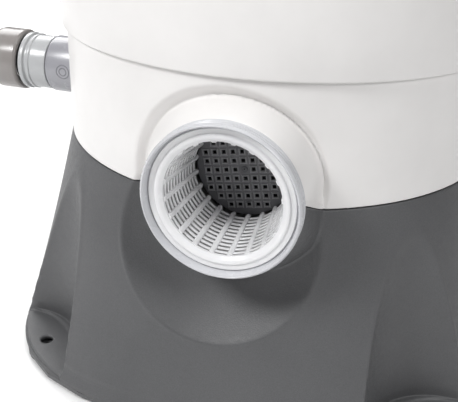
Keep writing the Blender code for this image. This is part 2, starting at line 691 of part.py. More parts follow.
def motor():
    low, high = MOTOR_Y
    case = [(0.0180, low), (0.0520, low), (0.0520, high), (0.0490, high), (0.0490, low + 0.004)]
    case += [(0.0180, low + 0.004)]
    obj = new_object("motor_shell", turned(case, closed=True, **pump_place()), "aluminium_case")
    fins = bmesh.new()
    for k in range(12):
        spot = Matrix.Translation((MOUTH_X, (low + high) / 2, PUMP_Z))
        around = Matrix.Rotation(radians(30 * k + 9), 4, "Y") @ Matrix.Translation((0.0535, 0, 0))
        size = Matrix.Diagonal((0.006, high - low - 0.020, 0.0022, 1))
        bmesh.ops.create_cube(fins, size=1, matrix=spot @ around @ size)
    boolean(obj, cutter_object(fins), "UNION")
    coaxial = {
        "stator": (0.0486, 0.0300, low + 0.032, high - 0.026, "copper_lamination"),
        "rotor": (0.0290, SHAFT_R + GAP, low + 0.034, high - 0.028, "steel"),
        "bearing_front": (0.0160, SHAFT_R + GAP, low + 0.0055, low + 0.0155, "steel"),
        "bearing_carrier_front": (0.0487, 0.0164, low + 0.0043, low + 0.0170, "aluminium_case"),
        "bearing_rear": (0.0160, SHAFT_R + GAP, high - 0.0120, high - 0.0020, "steel"),
        "bearing_carrier_rear": (0.0487, 0.0164, high - 0.0135, high - 0.0005, "aluminium_case"),
    }
    for name, (outer, inner, start, end, finish) in coaxial.items():
        obj = new_object(name, tube(outer, inner, start, end, **pump_place()), finish)
        if name == "rotor":
            pivot(obj, (MOUTH_X, start, PUMP_Z))
    shaft = new_object("motor_shaft", disc(SHAFT_R, *SHAFT_Y, **pump_place()), "steel")
    pivot(shaft, (MOUTH_X, SHAFT_Y[0], PUMP_Z))
    start, end = BELL_Y
    cover = [(0.0500, start), (0.0520, start), (0.0520, end - 0.004), (0.0480, end), (0.0200, end)]
    cover += [(0.0200, end - 0.003), (0.0470, end - 0.003), (0.0500, end - 0.006)]
    new_object("fan_cover", turned(cover, closed=True, **pump_place()), "pump_black")
    fan = new_object("fan", tube(0.0110, SHAFT_R + GAP, start + 0.005, start + 0.018, **pump_place()), "pump_black")
    for k in range(6):
        blade = bar((0.0100, start + 0.006, -0.0009), (0.0440, start + 0.017, 0.0009))
        about_y(blade, 60 * k)
        bmesh.ops.translate(blade, verts=blade.verts, vec=(MOUTH_X, 0, PUMP_Z))
        boolean(fan, cutter_object(blade), "UNION")
    pivot(fan, (MOUTH_X, start, PUMP_Z))
    can = disc(0.0150, -0.030, 0.030, axis=(0, 1, 0), centre=(-0.085, 0.045, 0.060), segments=16)
    new_object("capacitor", can, "pump_black")


# The switch box, the drain and the top of the tank


def switch_box():
    body = soften(bar((-BOX_HALF, 0.146, BOX_LOW), (BOX_HALF, BOX_FACE_Y, BOX_HIGH)), 0.003, 1)
    box = new_object("switch_box", body, "pump_black")
    middle_x, middle_z = ROCKER[0], ROCKER[2]
    well = bar((middle_x - 0.0120, 0.164, middle_z - 0.0136), (middle_x + 0.0120, 0.20, middle_z + 0.0136))
    boolean(box, cutter_object(well))
    gland_hole = disc(0.0083, -0.010, 0.02, axis=(0, 1, 0), centre=(0.017, BOX_FACE_Y, 0.101), segments=24)
    boolean(box, cutter_object(gland_hole))
    rocker = bmesh.new()
    outline = [(-0.0122, 0.0012), (-0.0118, -0.0055), (0.0118, -0.0055), (0.0122, 0.0048), (0, 0.0012)]
    ends = []
    for x in (-0.0112, 0.0112):
        ends.append([rocker.verts.new(Vector(ROCKER) + Vector((x, depth, height))) for height, depth in outline])
        rocker.faces.new(ends[-1])
    skin(rocker, ends)
    pivot(new_object("rocker", rocker, "needle_red"), ROCKER)
    body = [(0.0060, -0.009), (0.0080, -0.009), (0.0080, GAP), (0.0105, GAP), (0.0105, 0.0030)]
    body += [(0.0048, 0.0042), (0.0048, -0.005)]
    where = {"axis": (0, 1, 0), "centre": (0.017, BOX_FACE_Y, 0.101), "segments": 18}
    new_object("cable_gland", turned(body, closed=True, **where), "rubber_black")


def drain_plug():
    wall = plan_radius(radians(90 + 20), DRAIN_Z) * 0.985
    profile = [(0, 0.150), (DRAIN_R, 0.150), (DRAIN_R, wall - 0.001), (DRAIN_R - 0.001, wall), (0.0040, wall)]
    profile += [(0.0040, wall - 0.005), (0, wall - 0.005)]
    where = {"axis": (1, 0, 0), "centre": (0, DRAIN_Y, DRAIN_Z), "segments": 24}
    pivot(new_object("drain_plug", turned(profile, **where), "pump_black"), (0.150, DRAIN_Y, DRAIN_Z))


def tank_top():
    """The lid clamped on the neck by the lock ring, and the fittings on it."""
    face = NECK_Z + GAP
    torus("lid_oring", NECK_R - 0.0030, 0.0014, "rubber_black", centre=(0, 0, NECK_Z + 0.0017), segments=28)
    lid = [(0, 0.4660), (0.040, 0.4650), (0.080, 0.4580), (0.105, 0.4470), (0.112, 0.4400)]
    lid += [(NECK_R - 0.0006, 0.4400), (NECK_R - 0.0006, face + 0.0031), (0.110, face + 0.0031)]
    lid += [(0.102, 0.4420), (0.078, 0.4530), (0.040, 0.4600), (0, 0.4610)]
    obj = new_object("lid", turned(lid, segments=28), "white_shell")
    for x in (GAUGE_X, VALVE_X):
        boolean(obj, cutter_object(disc(0.0065, 0.43, 0.50, centre=(x, 0, 0), segments=20)))
    inner = NECK_R + 0.0016
    ring = [(inner, 0.4160), (inner + 0.012, 0.4160), (inner + 0.014, 0.4180), (inner + 0.014, 0.4400)]
    ring += [(inner + 0.010, 0.4440), (NECK_R - 0.0050, 0.4440), (NECK_R - 0.0050, 0.4406), (inner, 0.4406)]
    obj = new_object("lock_ring", turned(ring, closed=True, segments=28), "grey_base")
    for k in range(6):
        lug = bar((inner + 0.008, -0.011, 0.4185), (inner + 0.0205, 0.011, 0.4390))
        bmesh.ops.rotate(lug, verts=lug.verts, cent=(0, 0, 0), matrix=Matrix.Rotation(radians(60 * k), 3, "Z"))
        boolean(obj, cutter_object(lug), "UNION")
    pivot(obj, (0, 0, 0.4160))


def gauge():
    stem = disc(0.0055, 0.4540, GAUGE_Z - GAUGE_R + 0.004, centre=(GAUGE_X, 0, 0), segments=20)
    hexagon = disc(0.0105, 0.4680, 0.4780, centre=(GAUGE_X, 0, 0), segments=6)
    face = {"axis": (0, -1, 0), "centre": (GAUGE_X, 0, GAUGE_Z), "segments": 24}
    case = [(0, -0.012), (GAUGE_R, -0.012), (GAUGE_R, 0.0100), (GAUGE_R - 0.0020, 0.0120)]
    case += [(GAUGE_R - 0.0035, 0.0110), (GAUGE_R - 0.0035, -0.008), (0, -0.008)]
    obj = new_object("gauge_case", turned(case, **face), "steel")
    boolean(obj, cutter_object(stem), "UNION")
    boolean(obj, cutter_object(hexagon), "UNION")
    inside = GAUGE_R - 0.0038
    new_object("gauge_dial", tube(inside, 0.0012, -0.0077, -0.0062, **face), "dial_white")
    needle = disc(0.0026, -0.0052, -0.0034, axis=(0, -1, 0), centre=(GAUGE_X, 0, GAUGE_Z), segments=16)
    obj = new_object("gauge_needle", needle, "needle_red")
    pointer = bmesh.new()
    outline = ((-0.0011, -0.006), (0.0011, -0.006), (0.0003, 0.0175), (-0.0003, 0.0175))
    back = [pointer.verts.new((x, 0.0050, z)) for x, z in outline]
    front = [pointer.verts.new(v.co - Vector((0, 0.0010, 0))) for v in back]
    skin(pointer, [back, front])
    pointer.faces.new(back)
    pointer.faces.new(front)
    about_y(pointer, -135)
    bmesh.ops.translate(pointer, verts=pointer.verts, vec=(GAUGE_X, 0, GAUGE_Z))
    boolean(obj, cutter_object(pointer), "UNION")
    pivot(obj, (GAUGE_X, 0, GAUGE_Z))
    lens = disc(inside, 0.0060, 0.0080, **face)
    new_object("gauge_lens", lens, "lens_clear")


def air_valve():
    body = [(0.0022, 0.4540), (0.0060, 0.4540), (0.0060, 0.4665), (0.0110, 0.4670), (0.0110, 0.4760)]
    body += [(0.0075, 0.4770), (0.0075, 0.4840), (0.0022, 0.4840)]
    body = turned(body, closed=True, segments=16, centre=(VALVE_X, 0, 0))
    new_object("air_valve_body", body, "port_grey")
    knob = [(0, 0.4843), (0.0083, 0.4843), (0.0083, 0.4810), (0.0120, 0.4810), (0.0125, 0.4860), (0.0120, 0.4945)]
    knob += [(0.0105, 0.4965), (0, 0.4965)]
    obj = new_object("air_valve_knob", turned(knob, centre=(VALVE_X, 0, 0), segments=18), "knob_blue")
    for k in range(6):
        angle = radians(60 * k)
        spot = (VALVE_X + 0.0150 * cos(angle), 0.0150 * sin(angle), 0)
        boolean(obj, cutter_object(disc(0.0040, 0.47, 0.51, centre=spot, segments=8)))
    pivot(obj, (VALVE_X, 0, 0.4843))


def cartridge():
    """The pleated filter element, standing over the outlet in the tank's floor."""
    low, high = 0.2400, 0.4200
    new_object("cartridge_core", tube(0.0290, 0.0260, low + 0.008, high - 0.008, segments=16), "cartridge_cap")
    mesh_data = bmesh.new()
    pleats = 20
    rings = []
    for height in (low + 0.0083, high - 0.0083):
        wave = [0.090 if k % 2 else 0.072 for k in range(2 * pleats)]
        rings.append([mesh_data.verts.new(on_shell(pi * k / pleats, r, height)) for k, r in enumerate(wave)])
    for height in (high - 0.0083, low + 0.0083):
        rings.append([mesh_data.verts.new(on_shell(pi * k / pleats, 0.0293, height)) for k in range(2 * pleats)])
    skin(mesh_data, rings, closed_profile=True)
    new_object("cartridge_media", mesh_data, "filter_paper")
    new_object("cartridge_cap_bottom", tube(0.0940, 0.0200, low, low + 0.0080 - GAP, segments=20), "cartridge_cap")
    new_object("cartridge_cap_top", tube(0.0940, 0.0200, high - 0.0080 + GAP, high, segments=20), "cartridge_cap")


def build():
    for obj in list(bpy.data.objects):
        bpy.data.objects.remove(obj)
    base_shell()
    base_plate()
    foot_pads()
    tank_skirt()
    tank_body()
    strainer_housing()
    strainer_basket()
    strainer_screen()
    hose_port("port_left", -1)
    hose_port("port_right", 1)
    pipes()
    volute()
    pump_parts()
    motor()
    switch_box()
    drain_plug()
    tank_top()
    gauge()
    air_valve()
    cartridge()


build()
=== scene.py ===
"""Looks for the pool filter pump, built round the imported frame: shells, fittings, materials and light."""

import json
from math import ceil, cos, hypot, radians, sin, sqrt, tau

import bmesh
import bpy
import numpy as np
from mathutils import Matrix, Vector


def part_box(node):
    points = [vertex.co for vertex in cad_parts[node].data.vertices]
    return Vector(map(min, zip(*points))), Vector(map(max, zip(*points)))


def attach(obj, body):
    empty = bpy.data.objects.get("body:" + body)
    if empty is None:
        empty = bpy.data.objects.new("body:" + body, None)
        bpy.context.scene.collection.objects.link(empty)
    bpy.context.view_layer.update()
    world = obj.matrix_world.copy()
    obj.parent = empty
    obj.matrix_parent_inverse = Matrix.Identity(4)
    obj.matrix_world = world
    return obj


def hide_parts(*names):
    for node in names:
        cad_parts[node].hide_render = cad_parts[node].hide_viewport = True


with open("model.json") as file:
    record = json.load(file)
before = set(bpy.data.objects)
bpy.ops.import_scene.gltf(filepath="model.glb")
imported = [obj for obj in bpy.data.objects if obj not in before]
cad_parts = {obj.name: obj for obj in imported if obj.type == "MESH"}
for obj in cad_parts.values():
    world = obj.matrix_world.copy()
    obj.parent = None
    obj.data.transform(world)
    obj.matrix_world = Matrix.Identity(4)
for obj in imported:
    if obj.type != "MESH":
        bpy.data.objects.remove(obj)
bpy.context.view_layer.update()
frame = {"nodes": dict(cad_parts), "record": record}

# What the record says of each node, and places and sizes read from the frame
SLOTS = {part["node"]: part["material_slot"] for part in frame["record"]["subparts"]}
BODIES = {node: body for body, nodes in frame["record"]["behaviour"]["bodies"].items() for node in nodes}
base_low, base_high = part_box("base_shell")
skirt_low, skirt_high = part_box("tank_skirt")
tank_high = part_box("tank_body")[1]
collar_low, collar_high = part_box("strainer_housing")
basket_low, basket_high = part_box("strainer_basket")
screen_low, screen_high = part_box("strainer_screen")

GAP = 0.0003
SEAM_Z = (base_high.z + skirt_low.z) / 2
SEAM_R = skirt_high.x
STEP_Z = skirt_high.z + GAP
TANK_R = tank_high.x
NECK_Z = tank_high.z
MOUTH_X = (collar_low.x + collar_high.x) / 2
MOUTH_Z = (collar_low.z + collar_high.z) / 2
MOUTH_Y = collar_low.y
COLLAR_R = (collar_high.x - collar_low.x) / 2

# The base, as the frame has it
FLARE = (0.12, 0.07)  # growth of its half-width towards the floor, by the drop and by its square
SQUARENESS = 1.1
FLUTE_R = 0.35 * SEAM_R
FLUTE_TOP_Z = SEAM_Z - 0.22 * SEAM_R
FLUTE_FLOOR_R = 1.045 * SEAM_R
FLUTE_LEAN = 0.072
FLUTE_EDGE = 0.0014  # how widely the scoop's edge is blended
LEDGE_Z = SEAM_Z - 0.955 * SEAM_R
FOOT_RADIUS = 1.24 * SEAM_R
FOOT_HOLE_R = 0.0047
BOSS_TOP_Y = MOUTH_Y + 0.0095
BOSS_TOP_R = COLLAR_R - 0.001
MOUTH_HOLE_R = BOSS_TOP_R - 0.0006
AT_MOUTH = {"axis": (0, 1, 0), "centre": (MOUTH_X, MOUTH_Y, MOUTH_Z)}
BOSS_ROOT_R = (0.352 * SEAM_R, 0.415 * SEAM_R)  # above, and below where it spreads
BOSS_DEPTH = 0.17 * SEAM_R
BOSS_BULGE = 1.5
BOSS_LEAN = -0.16  # sideways shift of its axis per metre of depth
BOSS_BLEND = 0.003
SEAM_RISE = 0.115 * SEAM_R  # how far the seam climbs on its way out to the ring
POCKET = (0.03 * SEAM_R, SEAM_Z + 0.08 * SEAM_R)  # middle of the soft hollow round the boss
POCKET_R = (0.345 * SEAM_R, 0.395 * SEAM_R)
POCKET_DEPTH = 0.034 * SEAM_R
DISH_Z = SEAM_Z - 0.18 * SEAM_R
DISH_R = 0.415 * SEAM_R
DISH_DEPTH = 0.135 * SEAM_R
DISH_BOWL = 2.4
DISH_EDGE = 0.001
DISH_BEAD = (0.0005, 0.0013)  # height and half-width of the bead along the dish's edge
SHELL_WALL = 0.003


# Materials: every surface gets its tint, its gloss and its relief from nodes in object space, in metres


class Surface:
    """A Principled material under construction: a shader and helpers that feed its sockets."""

    def __init__(self, name):
        self.material = bpy.data.materials.new(name)
        self.material.use_nodes = True
        self.nodes = self.material.node_tree.nodes
        self.links = self.material.node_tree.links
        self.shader = self.nodes["Principled BSDF"]
        self.place = self.nodes.new("ShaderNodeTexCoord").outputs["Object"]

    def set(self, **values):
        for socket, value in values.items():
            self.shader.inputs[socket.replace("_", " ")].default_value = value

    def stretched(self, scale):
        """Object coordinates, scaled unevenly."""
        mapping = self.nodes.new("ShaderNodeMapping")
        mapping.inputs["Scale"].default_value = scale
        self.links.new(self.place, mapping.inputs["Vector"])
        return mapping.outputs["Vector"]

    def noise(self, scale, detail=3.0, rough=0.5, place=None):
        node = self.nodes.new("ShaderNodeTexNoise")
        node.inputs["Scale"].default_value = scale
        node.inputs["Detail"].default_value = detail
        node.inputs["Roughness"].default_value = rough
        self.links.new(place or self.place, node.inputs["Vector"])
        return node.outputs["Fac"]

    def cells(self, scale, place=None):
        node = self.nodes.new("ShaderNodeTexVoronoi")
        node.inputs["Scale"].default_value = scale
        self.links.new(place or self.place, node.inputs["Vector"])
        return node.outputs["Distance"]

    def between(self, factor, low, high, start=0.3, end=0.7):
        """A number that runs from low to high as the factor runs from start to end."""
        node = self.nodes.new("ShaderNodeMapRange")
        node.inputs["From Min"].default_value = start
        node.inputs["From Max"].default_value = end
        node.inputs["To Min"].default_value = low
        node.inputs["To Max"].default_value = high
        self.links.new(factor, node.inputs["Value"])
        return node.outputs["Result"]

    def tint(self, factor, low, high, start=0.3, end=0.7):
        """A colour that runs from low to high as the factor runs from start to end."""
        node = self.nodes.new("ShaderNodeValToRGB")
        ramp = node.color_ramp.elements
        ramp[0].position = start
        ramp[0].color = (*low, 1)
        ramp[1].position = end
        ramp[1].color = (*high, 1)
        self.links.new(factor, node.inputs["Fac"])
        return node.outputs["Color"]

    def blend(self, first, second, share=0.5, mode="MIX"):
        node = self.nodes.new("ShaderNodeMix")
        node.data_type = "RGBA"
        node.blend_type = mode
        node.inputs["Factor"].default_value = share
        self.links.new(first, node.inputs[6])
        self.links.new(second, node.inputs[7])
        return node.outputs[2]

    def feed(self, socket, output):
        self.links.new(output, self.shader.inputs[socket])

    def relief(self, *layers):
        """Bump from (height, strength, distance) layers, each on top of the one before."""
        normal = None
        for height, strength, distance in layers:
            node = self.nodes.new("ShaderNodeBump")
            node.inputs["Strength"].default_value = strength
            node.inputs["Distance"].default_value = distance
            self.links.new(height, node.inputs["Height"])
            if normal:
                self.links.new(normal, node.inputs["Normal"])
            normal = node.outputs["Normal"]
        self.feed("Normal", normal)


def moulded(name, low, high, gloss, grain=900.0, relief=0.1, waviness=0.05):
    """Injection-moulded plastic: faint flow mottling, uneven gloss, a fine grain and slow waviness."""
    s = Surface(name)
    s.feed("Base Color", s.tint(s.noise(14, 5, 0.6), low, high))
    s.feed("Roughness", s.between(s.noise(60, 4, 0.6), gloss[0], gloss[1]))
    s.relief((s.noise(28, 2), waviness, 0.002), (s.noise(grain, 3, 0.6), relief, 0.0002))
    return s.material


def spark_textured(name, low, high, gloss, relief=0.5):
    """Plastic with the fine matt texture of a spark-eroded mould: crowded tiny bumps, with painted light that
    darkens their hollows and lightens their tops.
    """
    s = Surface(name)
    grain = s.noise(1500, 4, 0.7)
    slow = s.tint(s.noise(11, 5, 0.6), low, high)
    # Painted light: the tint follows the bumps' height, giving painted shade in their hollows and a painted
    # highlight on their tops.
    painted_bump_light = s.tint(grain, (0.86, 0.86, 0.86), (1.12, 1.12, 1.12), 0.35, 0.65)
    s.feed("Base Color", s.blend(slow, painted_bump_light, 1.0, "MULTIPLY"))
    s.feed("Roughness", s.between(s.noise(300, 3, 0.7), gloss[0], gloss[1]))
    s.relief((s.noise(25, 2), 0.06, 0.002), (s.cells(1100), relief * 0.5, 0.0002), (grain, relief, 0.00025))
    return s.material


def brushed_metal(name, low, high, gloss, along=(1, 1, 40)):
    """Metal with fine parallel scratches."""
    s = Surface(name)
    scratches = s.noise(420, 4, 0.7, s.stretched(along))
    s.feed("Base Color", s.tint(scratches, low, high))
    s.feed("Roughness", s.between(scratches, gloss[0], gloss[1]))
    s.relief((scratches, 0.12, 0.0001))
    s.set(Metallic=1.0)
    return s.material


def rubber(name):
    s = Surface(name)
    s.feed("Base Color", s.tint(s.noise(90, 5, 0.7), (0.012, 0.012, 0.013), (0.03, 0.03, 0.031)))
    s.feed("Roughness", s.between(s.noise(200, 3), 0.55, 0.8))
    s.relief((s.noise(700, 4, 0.7), 0.3, 0.0002))
    return s.material


def milky(name):
    """Translucent natural polypropylene: light spreads inside it, so its shadows stay pale."""
    s = Surface(name)
    s.feed("Base Color", s.tint(s.noise(35, 4, 0.6), (0.78, 0.78, 0.8), (0.85, 0.85, 0.86)))
    s.feed("Roughness", s.between(s.noise(120, 3), 0.16, 0.28))
    s.relief((s.noise(140, 2, 0.5), 0.04, 0.0004))
    s.set(Subsurface_Weight=0.25, Subsurface_Radius=(0.004, 0.004, 0.0042), Subsurface_Scale=1.0)
    return s.material


def clear(name):
    s = Surface(name)
    s.feed("Base Color", s.tint(s.noise(50, 2), (0.94, 0.96, 0.96), (1.0, 1.0, 1.0)))
    s.feed("Roughness", s.between(s.noise(90, 3), 0.02, 0.06))
    s.set(Transmission_Weight=1.0, IOR=1.45)
    return s.material


def pleated_paper(name):
    s = Surface(name)
    fibres = s.noise(500, 5, 0.8, s.stretched((1, 1, 0.25)))
    s.feed("Base Color", s.tint(fibres, (0.7, 0.73, 0.79), (0.88, 0.9, 0.93)))
    s.feed("Roughness", s.between(fibres, 0.75, 0.95))
    s.relief((fibres, 0.4, 0.0004))
    return s.material


def windings(name):
    s = Surface(name)
    strands = s.noise(300, 4, 0.7, s.stretched((1, 6, 1)))
    s.feed("Base Color", s.tint(strands, (0.2, 0.08, 0.04), (0.48, 0.24, 0.12)))
    s.feed("Roughness", s.between(strands, 0.25, 0.5))
    s.relief((strands, 0.5, 0.0004))
    s.set(Metallic=0.7)
    return s.material


# Each material's maker with its dark and light tint, its range of roughness, its grain and its relief
RECIPES = {
    "white_shell": (moulded, (0.8, 0.785, 0.775), (0.86, 0.845, 0.835), (0.34, 0.44), 1100, 0.05, 0.04),
    "grey_base": (spark_textured, (0.09, 0.091, 0.095), (0.11, 0.111, 0.115), (0.42, 0.54)),
    "collar_grey": (moulded, (0.56, 0.565, 0.59), (0.63, 0.635, 0.66), (0.22, 0.32), 800, 0.03),
    "cup_grey": (moulded, (0.4, 0.395, 0.39), (0.48, 0.475, 0.47), (0.4, 0.5), 800, 0.06),
    "basket_clear": (milky,),
    # cup_dark is painted shade: near-black for the floor that closes the cup, the shade deep behind the
    # screen
    "cup_dark": (moulded, (0.012, 0.012, 0.013), (0.02, 0.02, 0.021), (0.5, 0.6)),
    # screen_rim is a lighter copy of screen_grey: a painted highlight for the raised frames of the same
    # moulding
    "screen_rim": (moulded, (0.3, 0.3, 0.31), (0.38, 0.38, 0.39), (0.28, 0.4), 700, 0.05),
    "screen_grey": (moulded, (0.13, 0.13, 0.14), (0.17, 0.17, 0.18), (0.3, 0.45), 700, 0.1),
    "port_grey": (moulded, (0.33, 0.33, 0.36), (0.4, 0.4, 0.43), (0.2, 0.3), 900, 0.05),
    "port_mark": (moulded, (0.2, 0.2, 0.22), (0.26, 0.26, 0.28), (0.2, 0.3)),
    "adapter_light": (moulded, (0.48, 0.49, 0.5), (0.55, 0.56, 0.57), (0.22, 0.3), 900, 0.05),
    "nut_brown_grey": (moulded, (0.25, 0.232, 0.225), (0.31, 0.29, 0.28), (0.16, 0.26), 900, 0.06),
    "rubber_black": (rubber,),
    "pipe_grey": (moulded, (0.27, 0.27, 0.28), (0.33, 0.33, 0.34), (0.35, 0.45)),
    "pump_black": (spark_textured, (0.02, 0.02, 0.021), (0.034, 0.034, 0.035), (0.38, 0.55), 0.35),
    "impeller_plastic": (moulded, (0.5, 0.45, 0.3), (0.6, 0.55, 0.4), (0.35, 0.5)),
    "steel": (brushed_metal, (0.5, 0.5, 0.51), (0.68, 0.68, 0.69), (0.22, 0.38)),
    "aluminium_case": (brushed_metal, (0.48, 0.49, 0.5), (0.62, 0.63, 0.64), (0.35, 0.5), (1, 1, 1)),
    "copper_lamination": (windings,),
    "dial_white": (moulded, (0.84, 0.84, 0.82), (0.9, 0.9, 0.88), (0.45, 0.55)),
    "needle_red": (moulded, (0.48, 0.02, 0.015), (0.58, 0.035, 0.025), (0.3, 0.45)),
    "lens_clear": (clear,),
    "knob_blue": (moulded, (0.04, 0.13, 0.3), (0.06, 0.18, 0.38), (0.3, 0.42)),
    "filter_paper": (pleated_paper,),
    "cartridge_cap": (moulded, (0.08, 0.19, 0.4), (0.12, 0.25, 0.48), (0.45, 0.6)),
    "print_black": (moulded, (0.02, 0.02, 0.02), (0.035, 0.035, 0.035), (0.4, 0.5)),
}
MATERIALS = {name: maker(name, *values) for name, (maker, *values) in RECIPES.items()}
MATERIALS["white_shell"].node_tree.nodes["Principled BSDF"].inputs["Coat Weight"].default_value = 0.08


# Mesh helpers


def piece(name, shape, look, node=None, body="housing", sharp=35):
    """A finished piece, painted and riding on a body; its body is that of the node it replaces, which it
    hides.
    """
    mesh = shape
    if isinstance(shape, bmesh.types.BMesh):
        bmesh.ops.recalc_face_normals(shape, faces=shape.faces)
        mesh = bpy.data.meshes.new(name)
        shape.to_mesh(mesh)
        shape.free()
    mesh.shade_smooth()
    mesh.set_sharp_from_angle(angle=radians(sharp))
    mesh.materials.append(MATERIALS[look])
    obj = bpy.data.objects.new(name, mesh)
    bpy.context.scene.collection.objects.link(obj)
    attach(obj, BODIES[node] if node else body)
    if node:
        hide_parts(node)
    return obj


ON_AXIS = 1e-6  # the radius under which a point lies on the axis
FLAT_CORNER = radians(88)  # half a corner's angle past which it counts as straight
FOLDED_CORNER = radians(2)
CORNER_SHARE = 0.48  # the most of a stretch that one corner's arc may take


def is_closed(points):
    """Whether a profile is a loop: one that runs from its axis back to its axis is not."""
    return points[0][0] > ON_AXIS or points[-1][0] > ON_AXIS


def rounded(points, radius, steps=4, closed=None):
    """A polyline with its corners turned into arcs, each as wide as its neighbours leave room for."""
    closed = is_closed(points) if closed is None else closed
    path = [Vector(p) for p in points]
    count = len(path)
    made = []
    for i, corner in enumerate(path):
        if not closed and i in (0, count - 1):
            made.append(corner)
            continue
        before = path[i - 1] - corner
        after = path[(i + 1) % count] - corner
        half = before.angle(after) / 2
        if half > FLAT_CORNER or half < FOLDED_CORNER:
            made.append(corner)
            continue
        room = min(before.length, after.length) * CORNER_SHARE
        reach = min(radius / (sin(half) / cos(half)), room)
        turn = reach * sin(half) / cos(half)
        middle = corner + (before.normalized() + after.normalized()).normalized() * (turn / sin(half))
        first = corner + before.normalized() * reach - middle
        last = corner + after.normalized() * reach - middle
        for k in range(steps + 1):
            made.append(middle + first.slerp(last, k / steps) * turn)
    return made


def densified(points, step):
    """The same outline with more points on its long stretches."""
    closed = is_closed(points)
    path = points + points[:1] if closed else points
    dense = []
    for a, b in zip(path, path[1:]):
        parts = max(1, ceil((b - a).length / step))
        dense += [a.lerp(b, k / parts) for k in range(parts)]
    return dense if closed else dense + [path[-1]]


def along(axis, centre):
    """The matrix that stands a part made along Z on an axis through a centre."""
    turn = Vector((0, 0, 1)).rotation_difference(Vector(axis)).to_matrix().to_4x4()
    return Matrix.Translation(centre) @ turn


def join_rings(mesh, rings, closed_profile):
    """Faces between rings of vertices, each one closed; a ring of one vertex is a pole."""
    pairs = list(zip(rings, rings[1:]))
    if closed_profile:
        pairs.append((rings[-1], rings[0]))
    for low, high in pairs:
        count = max(len(low), len(high))
        for i in range(count):
            j = i + 1
            corners = [low[i % len(low)], low[j % len(low)], high[j % len(high)], high[i % len(high)]]
            corners = list(dict.fromkeys(corners))
            if len(corners) > 2:
                mesh.faces.new(corners)


def lathe(points, segments=96, axis=(0, 0, 1), centre=(0, 0, 0), shape=None, into=None):
    """(radius, height) points turned about an axis; shape may change a radius by angle and height."""
    mesh = into or bmesh.new()
    place = along(axis, centre)
    rings = []
    for radius, height in points:
        if radius <= ON_AXIS:
            rings.append([mesh.verts.new(place @ Vector((0, 0, height)))])
            continue
        ring = []
        for k in range(segments):
            angle = tau * k / segments
            r = shape(angle, radius, height) if shape else radius
            ring.append(mesh.verts.new(place @ Vector((r * cos(angle), r * sin(angle), height))))
        rings.append(ring)
    join_rings(mesh, rings, is_closed(points))
    return mesh


def turned(outline, radius, steps, segments, **where):
    """A lathed part whose outline has rounded corners."""
    return lathe(rounded(outline, radius, steps), segments, **where)


def block(mesh, low, high, bevel=0.0, turn=None, segments=2):
    """A box between two corners with rounded edges, turned by a matrix and added to a mesh."""
    part = bmesh.new()
    size = [b - a for a, b in zip(low, high)]
    middle = [(a + b) / 2 for a, b in zip(low, high)]
    bmesh.ops.create_cube(part, size=1, matrix=Matrix.Translation(middle) @ Matrix.Diagonal((*size, 1)))
    if bevel:
        bmesh.ops.bevel(
            part, geom=part.edges[:], offset=bevel, segments=segments, affect="EDGES", clamp_overlap=True
        )
    if turn:
        part.transform(turn)
    return add_to(mesh, part)


def add_to(mesh, part):
    """Copies one mesh into another."""
    copy = bpy.data.meshes.new("part")
    part.to_mesh(copy)
    part.free()
    mesh.from_mesh(copy)
    bpy.data.meshes.remove(copy)
    return mesh


def cut_out(obj, cutter, itself=False):
    """Cuts one piece out of another, whose own parts may overlap, and deletes the cutter."""
    cut = obj.modifiers.new("cut", "BOOLEAN")
    cut.object = cutter
    cut.solver = "EXACT"
    cut.use_self = itself
    shape = obj.evaluated_get(bpy.context.evaluated_depsgraph_get())
    applied = bpy.data.meshes.new_from_object(shape)
    obj.modifiers.clear()
    obj.data = applied
    bpy.data.objects.remove(cutter)


# The moulded shells, as grids of directions and heights


def smooth_min(a, b, blend):
    part = np.maximum(blend - np.abs(a - b), 0.0) / blend
    return np.minimum(a, b) - part * part * blend / 4


def smooth_max(a, b, blend):
    return -smooth_min(-a, -b, blend)


def smooth_step(value):
    t = np.clip(value, 0.0, 1.0)
    return t * t * (3 - 2 * t)


def plan_radius(angle, height):
    """The flared body: a circle at the seam that squares off towards the floor. Angle 0 is -Y."""
    drop = np.maximum(SEAM_Z - height, 0.0) / SEAM_Z
    half_width = SEAM_R * (1 + FLARE[0] * drop + FLARE[1] * drop * drop)
    power = 2 + SQUARENESS * drop
    return half_width / (np.abs(np.sin(angle)) ** power + np.abs(np.cos(angle)) ** power) ** (1 / power)


def flute_radius(angle, height):
    """The nearly upright round scoop over the nearest corner foot; far away beside it."""
    nearest = radians(45) + radians(90) * np.round((angle - radians(45)) / radians(90))
    away = angle - nearest
    middle = FLUTE_FLOOR_R + FLUTE_LEAN * (FLUTE_TOP_Z - height) + FLUTE_R
    across = middle * np.sin(away)
    inside = np.maximum(FLUTE_R**2 - across**2, 0.0)
    return np.where(np.abs(across) < FLUTE_R, middle * np.cos(away) - np.sqrt(inside), 1.0)


def boss_forward(x, forward, height):
    """How far forward the boss that carries the ring stands at a point; it spreads out below."""
    lean = BOSS_LEAN * np.clip(-BOSS_TOP_Y - forward, 0.0, BOSS_DEPTH)
    offset = np.hypot(x - MOUTH_X - lean, height - MOUTH_Z)
    below = smooth_step((MOUTH_Z - height) / np.maximum(offset, 0.001) / 0.6)
    root = BOSS_ROOT_R[0] + (BOSS_ROOT_R[1] - BOSS_ROOT_R[0]) * below
    share = np.maximum(offset - BOSS_TOP_R + 0.001, 0.0) / (root - BOSS_TOP_R)
    return -BOSS_TOP_Y - BOSS_DEPTH * share**BOSS_BULGE


